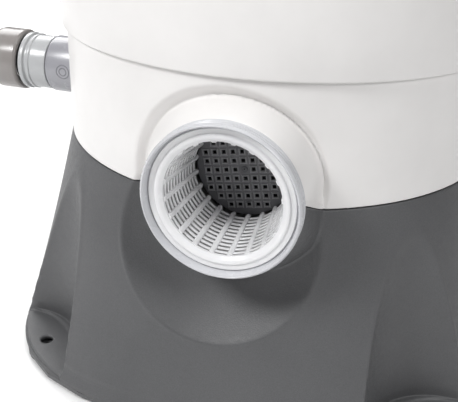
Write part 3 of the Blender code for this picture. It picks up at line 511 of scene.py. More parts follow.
def recess(x, height):
    """How deep the wall is let in round the mouth: a soft-edged pocket, and below it the crisp-edged dish."""
    away = np.hypot(x - POCKET[0], height - POCKET[1])
    pocket = POCKET_DEPTH * smooth_step((POCKET_R[1] - away) / (POCKET_R[1] - POCKET_R[0]))
    reach = np.hypot(x, height - DISH_Z)
    dish = smooth_max(DISH_DEPTH * (1 - np.minimum(reach / DISH_R, 1.4) ** DISH_BOWL), 0.0, DISH_EDGE)
    bead = DISH_BEAD[0] * np.exp(-(((reach - DISH_R - DISH_BEAD[1]) / DISH_BEAD[1]) ** 2))
    below = smooth_step((SEAM_Z - 0.1 * SEAM_R - height) / (0.2 * SEAM_R))
    return np.hypot(pocket, dish) - bead * below


SETTLING_STEPS = 24
SETTLING_SHARE = 0.4


def with_boss(plain_radius, angle, height):
    """Lets the front of a shell in round the mouth and adds the boss that carries the ring.

    The boss is given by its depth along Y, so each direction's radius is found by small steps towards it."""
    front = np.cos(angle) > 0.5
    cosine = np.where(front, np.cos(angle), 1.0)
    plain = plain_radius * cosine
    result = plain_radius.copy()
    for _ in range(SETTLING_STEPS):
        x = result * np.sin(angle)
        boss = boss_forward(x, result * cosine, height)
        forward = smooth_max(plain - recess(x, height), boss, BOSS_BLEND)
        result = np.where(front, result + SETTLING_SHARE * (forward / cosine - result), result)
    return result


CLIMB_LENGTH = -BOSS_TOP_Y - 0.92 * SEAM_R  # forward of the wall, where the seam is fully up


def climbing(plain, angle, height, reach):
    """A shell's radii and heights where its rows near the seam climb with the seam on the boss."""
    share = np.clip(1 - np.abs(height - SEAM_Z) / reach, 0.0, 1.0)
    lifted = height
    for _ in range(4):
        radius = with_boss(plain(angle, lifted), angle, lifted)
        out = (radius - plain(angle, lifted)) / CLIMB_LENGTH
        lifted = height + SEAM_RISE * np.clip(out, 0.0, 1.0) * share
    return radius, lifted


FRONT_HALF_DEG = 45
SCOOP_HALF_DEG = 21


def shell_angles():
    """Directions round the body: dense in front and over the scoops, wider apart elsewhere."""
    angles = []
    angle = -180.0
    while angle < 180.0 - 1e-6:
        angles.append(radians(angle))
        corner = abs((angle % 90) - 45)
        if abs(angle) < FRONT_HALF_DEG:
            angle += 0.375
        elif corner < SCOOP_HALF_DEG:
            angle += 0.5
        else:
            angle += 1.5
    return np.array(angles)


def grid_mesh(name, points, holes=()):
    """A sheet through a grid of points, closed round the columns, with true round holes.

    A hole is (side(points), centre, two plane axes, radius), where side tells which way it goes through."""
    rows, columns = points.shape[:2]
    flat = points.reshape(-1, 3).copy()
    index = np.arange(rows * columns).reshape(rows, columns)
    right = np.roll(index, -1, axis=1)
    faces = np.stack([index[:-1], right[:-1], right[1:], index[1:]], axis=-1).reshape(-1, 4)
    for side, centre, (u, v), radius in holes:
        near = side(flat)
        offset = np.stack([flat[:, u] - centre[0], flat[:, v] - centre[1]], axis=-1)
        distance = np.hypot(offset[:, 0], offset[:, 1])
        middle = offset[faces].mean(axis=1)
        cut = near[faces].all(axis=1) & (np.hypot(middle[:, 0], middle[:, 1]) < radius)
        rim = np.intersect1d(faces[cut].ravel(), faces[~cut].ravel())
        flat[rim, u] = centre[0] + offset[rim, 0] / distance[rim] * radius
        flat[rim, v] = centre[1] + offset[rim, 1] / distance[rim] * radius
        faces = faces[~cut]
    used, inverse = np.unique(faces, return_inverse=True)
    mesh = bpy.data.meshes.new(name)
    mesh.from_pydata(flat[used].tolist(), [], inverse.reshape(faces.shape).tolist())
    mesh.update()
    return mesh


def thicken(obj, thickness):
    """Gives an outer sheet its wall, inwards."""
    modifier = obj.modifiers.new("wall", "SOLIDIFY")
    modifier.thickness = thickness
    modifier.offset = -1


def rounded_edge(distance, radius):
    """How far a surface draws back at a distance from its rim, for an edge of the given radius."""
    inside = np.clip(1 - distance / radius, 0.0, 1.0)
    return radius * (1 - np.sqrt(1 - inside**2))


def place_rows(angle, radius, height):
    return np.stack([radius * np.sin(angle), -radius * np.cos(angle), height], axis=-1)


LEDGE_ROWS = 64
LEDGE_STEP = 0.0016  # rounded step between the ledge and the foot of the scoop's wall
FLUTE_BEAD = (0.0005, 0.0022)  # height and half-width of the bead along the scoop's edges


def ledge_rows(angles):
    """The rows that run up the foot's edge, in over the ledge with its screw hole, and up the scoop."""
    low_z = LEDGE_Z - 0.0045
    high_z = LEDGE_Z + 0.009
    t = np.linspace(0, 1, LEDGE_ROWS)[:, None]
    angle = np.broadcast_to(angles, (LEDGE_ROWS, len(angles)))
    outer = plan_radius(angle, LEDGE_Z)
    inner = smooth_min(plan_radius(angle, high_z), flute_radius(angle, high_z), FLUTE_EDGE)
    scooped = smooth_step((outer - inner) / 0.01)
    edge, wall = 0.1, 0.84
    across = np.clip((t - edge) / (wall - edge), 0, 1)
    path_r = outer + (inner - outer) * across
    up_the_wall = np.clip((t - wall) / (1 - wall), 0, 1)
    path_z = low_z + (LEDGE_Z - low_z) * np.clip(t / edge, 0, 1) + (high_z - LEDGE_Z) * up_the_wall
    plain_z = low_z + (high_z - low_z) * t
    plain_r = plan_radius(angle, plain_z + 0 * angle)
    radius = plain_r + (path_r - plain_r) * scooped
    height = plain_z + (path_z - plain_z) * scooped
    step = smooth_step((across - 0.84) / 0.05) * np.clip((1 - t) / (1 - wall), 0, 1)
    height = height + LEDGE_STEP * scooped * step
    for _ in range(2):
        radius[1:-1] = (radius[:-2] + 2 * radius[1:-1] + radius[2:]) / 4
        height[1:-1] = (height[:-2] + 2 * height[1:-1] + height[2:]) / 4
    return angle, radius, height


def scooped_radius(angle, height):
    """The flared body with its corner scoops, and a fine bead along their edges."""
    plan, flute = plan_radius(angle, height), flute_radius(angle, height)
    bead = FLUTE_BEAD[0] * np.exp(-(((plan - flute) / FLUTE_BEAD[1]) ** 2))
    return smooth_min(plan, flute, FLUTE_EDGE) + bead


def in_front(points):
    return points[:, 1] < -0.05


def on_ledge(points):
    return (points[:, 2] < LEDGE_Z + 0.004) & (points[:, 2] > LEDGE_Z - 0.0015)


def mouth_hole():
    return in_front, (MOUTH_X, MOUTH_Z), (0, 2), MOUTH_HOLE_R


SHELL_ROW = 0.0011  # height of the shells' rows


def base_skin():
    """The dark base from its rounded lower edge up to the seam, over the ledges and scoops."""
    angles = shell_angles()
    low = np.linspace(base_low.z, LEDGE_Z - 0.005, 6)
    high = np.arange(LEDGE_Z + 0.0098, base_high.z - 0.0014, SHELL_ROW)
    edge = base_high.z - 0.0012 * np.array([1, 0.75, 0.5, 0.3, 0.15, 0.05, 0])
    high = np.concatenate([high, edge])
    angle, height = np.meshgrid(angles, low)
    under_radius = plan_radius(angle, height) - rounded_edge(height - base_low.z, 0.0012)
    under = place_rows(angle, under_radius, height)
    ledge = place_rows(*ledge_rows(angles))
    angle, height = np.meshgrid(angles, high)
    radius, lifted = climbing(scooped_radius, angle, height, 0.045)
    radius = radius - rounded_edge(base_high.z - height, 0.0009)
    over = place_rows(angle, radius, lifted)
    points = np.concatenate([under, ledge, over])
    holes = [mouth_hole()]
    for side in (-1, 1):
        for way in (-1, 1):
            spot = (side * FOOT_RADIUS * sin(radians(45)), way * FOOT_RADIUS * cos(radians(45)))
            holes.append((on_ledge, spot, (0, 1), FOOT_HOLE_R))
    sheet = grid_mesh("base_skin", points, holes)
    thicken(piece("base_skin", sheet, "grey_base", "base_shell", sharp=60), SHELL_WALL)


def seam_radius(angle, _):
    return np.full_like(angle, SEAM_R)


def skirt_skin():
    """The white lower wall between the seam and the step."""
    angles = shell_angles()
    edge = 0.0011
    low = skirt_low.z + edge * np.array([0, 0.05, 0.15, 0.3, 0.5, 0.75])
    heights = np.concatenate([low, np.arange(skirt_low.z + edge, STEP_Z - 0.0004, SHELL_ROW)])
    angle, height = np.meshgrid(angles, heights)
    radius, lifted = climbing(seam_radius, angle, height, 0.075)
    radius = radius - rounded_edge(height - skirt_low.z, 0.001)
    points = place_rows(angle, radius, lifted)
    sheet = grid_mesh("skirt_skin", points, [mouth_hole()])
    thicken(piece("skirt_skin", sheet, "white_shell", "tank_skirt", sharp=60), SHELL_WALL)


SHOULDER_Z = 0.372
SHOULDER_RISE = 0.04
TANK_WALL = 0.006


def tank_skin():
    """The upper tank: a lip that overhangs the skirt, a slightly drafted wall, the shoulder and the neck."""
    neck_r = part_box("lid")[1].x + 0.0006
    shoulder = SHOULDER_Z
    lip = skirt_high.z - 0.001
    outline = [(SEAM_R - 0.012, STEP_Z + 0.0008), (SEAM_R + GAP, STEP_Z + 0.0008), (SEAM_R + GAP, lip)]
    outline += [(TANK_R - 0.0014, lip), (TANK_R, STEP_Z + 0.022), (TANK_R, shoulder)]
    steps = 14
    for k in range(1, steps + 1):
        turn = radians(90) * k / steps
        radius = TANK_R - (TANK_R - neck_r - 0.004) * (1 - cos(turn))
        outline.append((radius, shoulder + SHOULDER_RISE * sin(turn)))
    outline += [(neck_r, shoulder + 0.0405), (neck_r, NECK_Z), (neck_r - TANK_WALL, NECK_Z)]
    outline += [(neck_r - TANK_WALL, shoulder + 0.036), (TANK_R - TANK_WALL, shoulder - 0.004)]
    outline += [(TANK_R - TANK_WALL, STEP_Z + TANK_WALL), (SEAM_R - 0.012, STEP_Z + TANK_WALL)]
    piece("tank_skin", turned(outline, 0.0022, 5, 192), "white_shell", "tank_body", sharp=40)


# The strainer


THREAD_DEPTH = 0.0009
THREAD_PITCH = 0.0024
THREAD_START = 0.0017


def mouth_ring():
    """The threaded ring round the mouth: a rolled rim, a fine thread outside and a step for the basket."""
    depth = 0.0092
    inner = (basket_high.x - basket_low.x) / 2
    count = 44
    outline = [(COLLAR_R - 0.001, depth - 0.0003)]
    outline += [(COLLAR_R - 0.0001, depth - 0.0006 - (depth - 0.0022) * k / count) for k in range(count + 1)]
    rim = [(COLLAR_R - 0.0002, 0.0012), (COLLAR_R - 0.0012, 0.0), (inner + 0.0022, 0.0)]
    rim += [(inner + 0.0014, 0.0014), (inner + 0.0008, 0.006), (inner - 0.004, 0.0066)]
    rim += [(inner - 0.004, depth - 0.0003)]
    outline += rounded(rim, 0.0009, 5, closed=False)

    def threaded(angle, radius, height):
        end = depth - 0.0006
        if radius < COLLAR_R - 0.00015 or not THREAD_START < height < end:
            return radius
        phase = (height / THREAD_PITCH - angle / tau) % 1.0
        groove = max(0.0, 1 - abs(phase - 0.5) / 0.36)
        fade = min(1.0, (height - THREAD_START) / 0.0012, (end - height) / 0.0012)
        return radius - THREAD_DEPTH * min(1.0, groove * 1.6) * max(fade, 0.0)

    ring = lathe(outline, 240, shape=threaded, **AT_MOUTH)
    piece("mouth_ring", ring, "collar_grey", "strainer_housing", sharp=50)


def strainer_cup():
    """The cup behind the ring that the basket hangs in; its floor is painted near-black, as painted shade
    deep behind the screen.
    """
    back = collar_high.y - MOUTH_Y
    inner = COLLAR_R - 0.0095
    outline = [(inner, 0.0068), (inner - 0.0006, back - 0.0032), (inner + 0.004, back - 0.0032)]
    outline += [(inner + 0.0042, 0.0068)]
    floor = [(0.0, back - 0.003), (inner + 0.0038, back - 0.003), (inner + 0.0038, back), (0.0, back)]
    wall_mesh = lathe(outline, 120, **AT_MOUTH)
    piece("strainer_cup", wall_mesh, "cup_grey", "strainer_housing", sharp=40)
    # The floor is painted near-black, as painted shade seen through the screen's holes; the cup's wall keeps
    # its grey.
    floor_mesh = turned(floor, 0.0008, 3, 96, **AT_MOUTH)
    piece("strainer_cup_floor", floor_mesh, "cup_dark", "strainer_housing", sharp=40)


RIBS = 20
SLOT_ROWS = 10
RIB_WIDTH = 0.0034
RIB_RAISE = 0.0007
BAR = 0.0021
BASKET_R = (0.0355, 0.03)  # inside the wall, at the mouth and at the end
BASKET_WALL = 0.0011


def basket_skin():
    """Milky tapering basket: flange with a rolled lip, thin rings, and ribs that reach past the last ring."""
    mouth_r, end_r = BASKET_R
    flange_r = (basket_high.x - basket_low.x) / 2
    front = basket_low.y
    depth = basket_high.y - front
    where = {"axis": (0, 1, 0), "centre": (MOUTH_X, front, MOUTH_Z)}

    def wall_r(height):
        return mouth_r + (end_r - mouth_r) * height / depth

    lip = [(flange_r, 0.0007), (flange_r, 0.0026), (mouth_r + 0.0042, 0.0026), (mouth_r + 0.0016, 0.0044)]
    lip += [(mouth_r - 0.0003, 0.0044), (mouth_r, 0.0022), (mouth_r + 0.002, 0.0006)]
    lip += [(mouth_r + 0.0034, 0.0001), (mouth_r + 0.0044, 0.0003), (mouth_r + 0.005, 0.0012)]
    lip += [(flange_r - 0.001, 0.0009)]
    mesh = turned(lip, 0.0006, 4, 180, **where)
    last = depth - 0.0042
    first = 0.0062
    for k in range(SLOT_ROWS + 1):
        height = first + (last - first) * k / SLOT_ROWS
        r = wall_r(height)
        start, end = height - BAR / 2, height + BAR / 2
        bar = [(r, start), (r, end), (r + BASKET_WALL, end), (r + BASKET_WALL, start)]
        turned(bar, 0.0004, 2, 120, into=mesh, **where)
    for k in range(RIBS):
        rib = rib_mesh(wall_r, 0.003, depth - 0.0004)
        rib.transform(along(**where) @ Matrix.Rotation(tau * (k + 0.5) / RIBS, 4, "Z"))
        add_to(mesh, rib)
    piece("basket_skin", mesh, "basket_clear", "strainer_basket", sharp=50)


def rib_mesh(wall_r, start, end):
    """One rib along the wall: flat-backed, rounded across and ending in a round tip."""
    mesh = bmesh.new()
    rings = []
    across = 8
    tip = RIB_WIDTH / 2
    lengths = [start + (end - start) * k / 10 for k in range(9)]
    lengths = [height for height in lengths if height < end - tip]
    lengths += [end - tip * (1 - sin(radians(90) * k / 6)) for k in range(7)]
    for height in lengths:
        reach = max(0.0, height - (end - tip)) / tip
        half = RIB_WIDTH / 2 * sqrt(max(0.0, 1 - reach**2)) + 0.00002
        r = wall_r(height)
        ring = []
        for k in range(across + 1):
            u = -1 + 2 * k / across
            raised = RIB_RAISE * sqrt(max(0.0, 1 - u**4))
            ring.append(mesh.verts.new((r - raised, half * u, height)))
        for u in (1, -1):
            ring.append(mesh.verts.new((r + BASKET_WALL * 0.98, half * u, height)))
        rings.append(ring)
    join_rings(mesh, rings, False)
    mesh.faces.new(rings[0])
    mesh.faces.new(rings[-1])
    return mesh


PITCH = 0.0059
HOLE = 0.0032
SCREEN_TURN = radians(10)
SCREEN_PLATE = 0.0018
FRAME_RISE = 0.0008


def screen_skin():
    """The square-hole plate: a raised frame round each hole, a plain border and the moulded pin. The frames
    are painted a lighter grey than the plate they are moulded with, as a painted highlight on the raised
    ridges.
    """
    radius = (screen_high.x - screen_low.x) / 2
    front = screen_high.y - SCREEN_PLATE
    where = {"axis": (0, -1, 0), "centre": (MOUTH_X, front, MOUTH_Z)}
    outline = [(0.0, -SCREEN_PLATE), (radius - 0.0004, -SCREEN_PLATE), (radius, -0.0012)]
    outline += [(radius, -0.0004), (radius - 0.0004, 0.0), (0.0, 0.0)]
    plate = lathe(outline, 96, **where)
    holes = bmesh.new()
    frames = bmesh.new()
    reach = radius - 0.0022
    tilted = Matrix.Translation((MOUTH_X, front, MOUTH_Z)) @ Matrix.Rotation(-SCREEN_TURN, 4, "Y")
    count = int(reach / PITCH)
    for i in range(-count, count + 1):
        for j in range(-count, count + 1):
            x, z = i * PITCH, j * PITCH
            if (i, j) == (0, 0) or hypot(abs(x) + HOLE / 2, abs(z) + HOLE / 2) > reach:
                continue
            spot = tilted @ Matrix.Translation((x, 0, z))
            bmesh.ops.create_cube(holes, size=1, matrix=spot @ Matrix.Diagonal((HOLE, 0.01, HOLE, 1)))
            square_frame(frames, spot, HOLE / 2 + 0.00002, HOLE / 2 + 0.0008)
    obj = piece("screen_skin", plate, "screen_grey", "strainer_screen", sharp=30)
    cut_out(obj, piece("hole_cutter", holes, "screen_grey", body="strainer"))
    obj.data.set_sharp_from_angle(angle=radians(30))
    # The frames take the lighter grey, as a painted highlight on the raised ridges.
    piece("screen_frames", frames, "screen_rim", "strainer_screen", sharp=30)
    pin = [(0.0, -0.0005), (0.0021, -0.0005), (0.0021, 0.0006), (0.0016, 0.0009), (0.0012, 0.0006)]
    pin += [(0.0007, 0.0006), (0.0006, 0.0016), (0.0, 0.0018)]
    pin_mesh = lathe(pin, 32, **where)
    piece("screen_pin", pin_mesh, "screen_grey", "strainer_screen", sharp=50)


def square_frame(mesh, spot, inner, outer):
    """A raised square ridge round a hole, with a rounded section."""
    rings = []
    soft = 0.0003
    section = [(outer + 0.0001, 0.0002), (outer, -FRAME_RISE * 0.7), ((inner + outer) / 2, -FRAME_RISE)]
    section += [(inner, -FRAME_RISE * 0.7), (inner - 0.0001, 0.0002)]
    for side, depth in section:
        corners = []
        for x, z in ((-1, -1), (1, -1), (1, 1), (-1, 1)):
            for dx, dz in ((soft, 0), (0, soft)) if x * z > 0 else ((0, soft), (soft, 0)):
                corner = Vector((x * (side - dx), depth, z * (side - dz)))
                corners.append(mesh.verts.new(spot @ corner))
        rings.append(corners)
    join_rings(mesh, rings, False)


# The hose ports


def hose_port(name, side):
    """Sleeve with a generic ring mark, the lighter adapter with its grooves, and the screwed end nut."""
    low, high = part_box(f"port_{name}_sleeve")
    centre_z = (low.z + high.z) / 2
    r = (high.z - low.z) / 2
    where = {"axis": (side, 0, 0), "centre": (0, 0, centre_z)}
    ends = {}
    for part in ("sleeve", "adapter", "nut"):
        ends[part] = sorted(abs(corner.x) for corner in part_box(f"port_{name}_{part}"))

    def fitting(part, outline, soft, steps, look):
        node = f"port_{name}_{part}"
        piece(node + "_skin", turned(outline, soft, steps, 120, **where), look, node, sharp=40)

    start, end = ends["sleeve"]
    step = end - 0.003
    outline = [(r, start), (r, step - 0.0006), (r - 0.001, step), (r - 0.001, step + 0.0008)]
    outline += [(r - 0.003, step + 0.0012), (r - 0.003, start)]
    fitting("sleeve", outline, 0.0004, 3, "port_grey")
    face = ends["adapter"][1]
    outline = [(r - 0.0032, step - 0.018), (r - 0.0032, step + 0.0016), (r - 0.0011, step + 0.0019)]
    outline += [(r - 0.0011, face - 0.0112), (r - 0.0002, face - 0.0105), (r - 0.0002, face - 0.0088)]
    outline += [(r - 0.0016, face - 0.0082), (r - 0.0016, face - 0.0062), (r + 0.0003, face - 0.0054)]
    outline += [(r + 0.0004, face - 0.002), (r - 0.003, face - 0.0012), (r - 0.003, face)]
    outline += [(0.0162, face), (0.016, face - 0.001), (0.016, step - 0.018)]
    fitting("adapter", outline, 0.0007, 4, "adapter_light")
    near, far = ends["nut"]
    outline = [(r - 0.002, near + 0.0002), (r + 0.001, near + 0.0002), (r + 0.002, near + 0.002)]
    outline += [(r + 0.002, far - 0.005), (r + 0.001, far - 0.0018), (r - 0.0014, far), (0.0178, far)]
    outline += [(0.0166, far - 0.0012), (0.0166, near + 0.0034), (r - 0.002, near + 0.0034)]
    fitting("nut", outline, 0.0014, 5, "nut_brown_grey")
    ring_mark(f"port_{name}_mark", side, (start + 0.0145 + step) / 2, r, centre_z)


def ring_mark(name, side, x, radius, centre_z):
    """Two plain raised rings moulded on the sleeve's front."""
    mesh = bmesh.new()
    for ring_r in (0.003, 0.0054):
        rings = []
        for k in range(48):
            turn = tau * k / 48
            ring = []
            for j in range(8):
                bead = tau * j / 8
                r = ring_r + 0.00045 * cos(bead)
                u, v = r * cos(turn), r * sin(turn)
                lift = radius + 0.0003 * sin(bead)
                swing = v / radius
                spot = (side * x + u, -lift * cos(swing), centre_z + lift * sin(swing))
                ring.append(mesh.verts.new(spot))
            rings.append(ring)
        join_rings(mesh, rings, True)
    piece(name, mesh, "port_mark", sharp=60)


# The top: lid, lock ring, gauge and air valve


LID_RIBS = 8
LOCK_FLUTES = 90
LOCK_GRIPS = 6


def lid_skin():
    """The domed lid with ribs that follow its slope."""
    low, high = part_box("lid")
    radius = high.x
    crown = high.z
    outline = [(0.0, crown), (0.03, crown - 0.0004), (0.06, crown - 0.003), (0.085, crown - 0.009)]
    outline += [(0.1, crown - 0.016), (0.1085, crown - 0.0235), (0.1118, low.z + 0.0046)]
    outline += [(radius, low.z + 0.0044), (radius, low.z + 0.0002), (0.11, low.z + 0.0002)]
    outline += [(0.1, crown - 0.024), (0.06, crown - 0.01), (0.0, crown - 0.0055)]
    mesh = turned(outline, 0.006, 5, 192)
    for k in range(LID_RIBS):
        rib = bmesh.new()
        block(rib, (0.03, -0.0022, crown - 0.022), (0.098, 0.0022, crown - 0.001), 0.0012)
        rib.transform(Matrix.Rotation(tau * (k + 0.5) / LID_RIBS, 4, "Z"))
        for vertex in rib.verts:
            r = hypot(vertex.co.x, vertex.co.y)
            drop = crown - 0.0235 * (max(r - 0.012, 0) / 0.0965) ** 2.6
            if vertex.co.z > crown - 0.012:
                vertex.co.z = drop + 0.001
        add_to(mesh, rib)
    piece("lid_skin", mesh, "white_shell", "lid")


def lock_ring_skin():
    """The ring that holds the lid down: fluted round its edge, with grips for the hands."""
    low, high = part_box("lock_ring")
    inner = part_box("lid")[1].x + 0.0022
    outline = [(inner, low.z), (inner + 0.012, low.z), (inner + 0.014, low.z + 0.002)]
    outline += [(inner + 0.014, high.z - 0.004), (inner + 0.01, high.z), (inner - 0.0066, high.z)]
    outline += [(inner - 0.0066, high.z - 0.0034), (inner, high.z - 0.0034)]

    def fluted(angle, r, _):
        if r < inner + 0.0125:
            return r
        return r - 0.0008 * (0.5 + 0.5 * cos(angle * LOCK_FLUTES)) ** 2

    mesh = lathe(densified(rounded(outline, 0.0018, 4), 0.003), 540, shape=fluted)
    grip_low = (inner + 0.008, -0.011, low.z + 0.0025)
    grip_high = (inner + 0.0205, 0.011, high.z - 0.005)
    for k in range(LOCK_GRIPS):
        block(mesh, grip_low, grip_high, 0.0028, Matrix.Rotation(tau * k / LOCK_GRIPS, 4, "Z"), 3)
    piece("lock_ring_skin", mesh, "grey_base", "lock_ring")


HEXAGON_Z = (0.4682, 0.4778)  # the spanner flats on the gauge's stem
GAUGE_SWEEP_DEG = 270
GAUGE_MARKS = 30


def gauge_skin():
    """The gauge: case and stem, face, scale marks, needle at its lower stop and glass."""
    low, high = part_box("gauge_case")
    radius = (high.x - low.x) / 2
    centre = Vector(((low.x + high.x) / 2, 0, high.z - radius))
    where = {"axis": (0, -1, 0), "centre": centre}
    outline = [(0.0, -0.012), (radius - 0.003, -0.012), (radius - 0.0005, -0.0095)]
    outline += [(radius - 0.0005, 0.007), (radius, 0.0075), (radius, 0.0102), (radius - 0.0014, 0.0118)]
    outline += [(radius - 0.0034, 0.0112), (radius - 0.0036, -0.0079), (0.0, -0.0079)]
    mesh = turned(outline, 0.001, 4, 96, **where)
    stem = {"centre": (centre.x, 0, 0)}
    top = centre.z - radius + 0.004
    neck = [(0.0, low.z), (0.0054, low.z), (0.0054, top), (0.0, top)]
    lathe(neck, 48, into=mesh, **stem)
    start, end = HEXAGON_Z
    hexagon = [(0.0, start), (0.0092, start), (0.0104, start + 0.001)]
    hexagon += [(0.0104, end - 0.001), (0.0092, end), (0.0, end)]
    lathe(hexagon, 6, into=mesh, **stem)
    piece("gauge_case_skin", mesh, "steel", "gauge_case", sharp=30)
    inside = radius - 0.0038
    face = [(0.0, -0.0077), (inside, -0.0077), (inside, -0.0062), (0.0, -0.0062)]
    face_mesh = lathe(face, 96, **where)
    piece("gauge_face", face_mesh, "dial_white", "gauge_dial", sharp=30)
    marks = bmesh.new()
    for k in range(GAUGE_MARKS + 1):
        long_mark = k % 5 == 0
        degrees = GAUGE_SWEEP_DEG * (k / GAUGE_MARKS - 0.5)
        turn = Matrix.Translation(centre) @ Matrix.Rotation(radians(degrees), 4, "Y")
        half = 0.00035 if long_mark else 0.0002
        start = inside - (0.005 if long_mark else 0.0034)
        block(marks, (-half, 0.00595, start), (half, 0.0064, inside - 0.0012), 0.0, turn)
    piece("gauge_marks", marks, "print_black", sharp=30)
    needle = bmesh.new()
    turn = Matrix.Translation(centre) @ Matrix.Rotation(radians(-GAUGE_SWEEP_DEG / 2), 4, "Y")
    outline = [(-0.001, -0.006), (0.001, -0.006), (0.0004, 0.0172), (-0.0004, 0.0172)]
    back = [needle.verts.new(turn @ Vector((x, 0.0049, z))) for x, z in outline]
    front = [needle.verts.new(turn @ Vector((x, 0.0041, z))) for x, z in outline]
    join_rings(needle, [back, front], False)
    needle.faces.new(back)
    needle.faces.new(front)
    hub = [(0.0, -0.0052), (0.0026, -0.0052), (0.0026, -0.004), (0.002, -0.0034), (0.0, -0.0034)]
    lathe(hub, 32, into=needle, **where)
    piece("gauge_needle_skin", needle, "needle_red", "gauge_needle", sharp=30)
    lens = [(0.0, 0.006), (inside, 0.006), (inside, 0.0078), (inside * 0.5, 0.0084), (0.0, 0.0086)]
    lens_mesh = turned(lens, 0.003, 4, 96, **where)
    piece("gauge_glass", lens_mesh, "lens_clear", "gauge_lens", sharp=30)


VALVE_COLLAR_Z = (0.4664, 0.4762)
VALVE_LUGS = 8
KNOB_LOBES = 6


def air_valve_skin():
    """The air valve: a body with a lugged collar and a lobed knob."""
    low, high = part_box("air_valve_body")
    centre = ((low.x + high.x) / 2, 0, 0)
    start, end = VALVE_COLLAR_Z
    outline = [(0.0022, low.z), (0.006, low.z), (0.006, start), (0.0106, start + 0.0002)]
    outline += [(0.011, start + 0.0008), (0.011, end - 0.0006), (0.0104, end), (0.0075, end + 0.0004)]
    outline += [(0.0075, high.z), (0.0022, high.z)]
    mesh = turned(outline, 0.0005, 3, 72, centre=centre)
    for k in range(VALVE_LUGS):
        turn = Matrix.Translation(centre) @ Matrix.Rotation(tau * k / VALVE_LUGS, 4, "Z")
        block(mesh, (0.01, -0.0016, start + 0.0008), (0.0113, 0.0016, end - 0.0006), 0.0004, turn)
    piece("air_valve_body_skin", mesh, "port_grey", "air_valve_body")
    low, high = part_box("air_valve_knob")
    outline = [(0.0, low.z + 0.0034), (0.0084, low.z + 0.0034), (0.0084, low.z), (0.0118, low.z)]
    outline += [(0.0122, low.z + 0.005), (0.0118, high.z - 0.0024), (0.0104, high.z)]
    outline += [(0.0, high.z - 0.0006)]

    def lobed(angle, r, _):
        if r < 0.01:
            return r
        return r - 0.0016 * (0.5 - 0.5 * cos(angle * KNOB_LOBES)) ** 4

    dense = densified(rounded(outline, 0.0012, 4), 0.001)
    knob = lathe(dense, 144, centre=centre, shape=lobed)
    piece("air_valve_knob_skin", knob, "knob_blue", "air_valve_knob", sharp=40)


# The back and the sides of the base


BEZEL = 0.002
ROCKER_Z = 0.101  # middle of the rocker
ROCKER_HALF = 0.012
ROCKER_FACE_Y = 0.176
ROCKER_DEPTH = 0.0052


def switch_skin():
    """The switch box with its raised face, the rocker's well, a bezel round it and four screws."""
    low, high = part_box("switch_box")
    well_low, well_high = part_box("rocker")
    x0, x1 = well_low.x - 0.0012, well_high.x + 0.0012
    z0, z1 = well_low.z - 0.0016, well_high.z + 0.0012
    mesh = bmesh.new()
    block(mesh, low, (high.x, high.y - 0.0012, high.z), 0.0045, None, 4)
    face_low = (low.x + 0.006, high.y - 0.003, low.z + 0.006)
    face_high = (high.x - 0.006, high.y - 0.0006, high.z - 0.006)
    block(mesh, face_low, face_high, 0.001, None, 3)
    box = piece("switch_box_skin", mesh, "pump_black", "switch_box")
    well = bmesh.new()
    block(well, (x0, high.y - 0.01, z0), (x1, high.y + 0.01, z1))
    cut_out(box, piece("well_cutter", well, "pump_black"), itself=True)
    trim = bmesh.new()
    left, right, bottom, top = x0 - BEZEL, x1 + BEZEL, z0 - BEZEL, z1 + BEZEL
    for a, b in (
        ((left, bottom), (right, z0)),
        ((left, z1), (right, top)),
        ((left, z0), (x0, z1)),
        ((x1, z0), (right, z1)),
    ):
        block(trim, (a[0], high.y - 0.001, a[1]), (b[0], high.y, b[1]), 0.0003)
    head = [(0.0, -0.0008), (0.0024, -0.0008), (0.0024, 0.0), (0.0016, 0.0006), (0.001, 0.0006)]
    head += [(0.0009, 0.0), (0.0, 0.0)]
    for sx in (-1, 1):
        for sz in (-1, 1):
            x = (low.x + high.x) / 2 + sx * (high.x - low.x - 0.016) / 2
            z = (low.z + high.z) / 2 + sz * (high.z - low.z - 0.016) / 2
            lathe(head, 24, (0, 1, 0), (x, high.y - 0.0007, z), into=trim)
    piece("switch_trim", trim, "pump_black")
    rocker_skin(well_low, well_high)
    gland_skin()


def rocker_skin(low, high):
    """A rocker whose upper end stands up."""
    mesh = bmesh.new()
    rings = []
    steps = 16
    left, right = low.x + 0.0006, high.x - 0.0006
    back = ROCKER_FACE_Y - ROCKER_DEPTH
    for k in range(steps + 1):
        u = -1 + 2 * k / steps
        z = ROCKER_Z + u * ROCKER_HALF
        rise = 0.0012 + 0.0036 * max(u, 0) ** 1.6
        front = ROCKER_FACE_Y + rise - 0.0004 * abs(u) ** 8
        ring = [(left, front - 0.0006), (low.x + 0.0014, front), (high.x - 0.0014, front)]
        ring += [(right, front - 0.0006), (right, back), (left, back)]
        rings.append([mesh.verts.new((x, y, z)) for x, y in ring])
    join_rings(mesh, rings, False)
    mesh.faces.new(rings[0])
    mesh.faces.new(rings[-1])
    piece("rocker_skin", mesh, "needle_red", "rocker", sharp=40)


def gland_skin():
    """The nut that the cable would pass through; no cable is made."""
    low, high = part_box("cable_gland")
    centre = ((low.x + high.x) / 2, 0, (low.z + high.z) / 2)
    face = high.y - 0.0042
    outline = [(0.006, low.y), (0.008, low.y), (0.008, face), (0.0104, face), (0.0104, face + 0.0026)]
    outline += [(0.0086, face + 0.0032), (0.007, high.y), (0.005, high.y), (0.005, low.y + 0.004)]
    mesh = turned(outline, 0.0005, 3, 72, axis=(0, 1, 0), centre=centre)
    piece("cable_gland_skin", mesh, "rubber_black", "cable_gland", sharp=40)


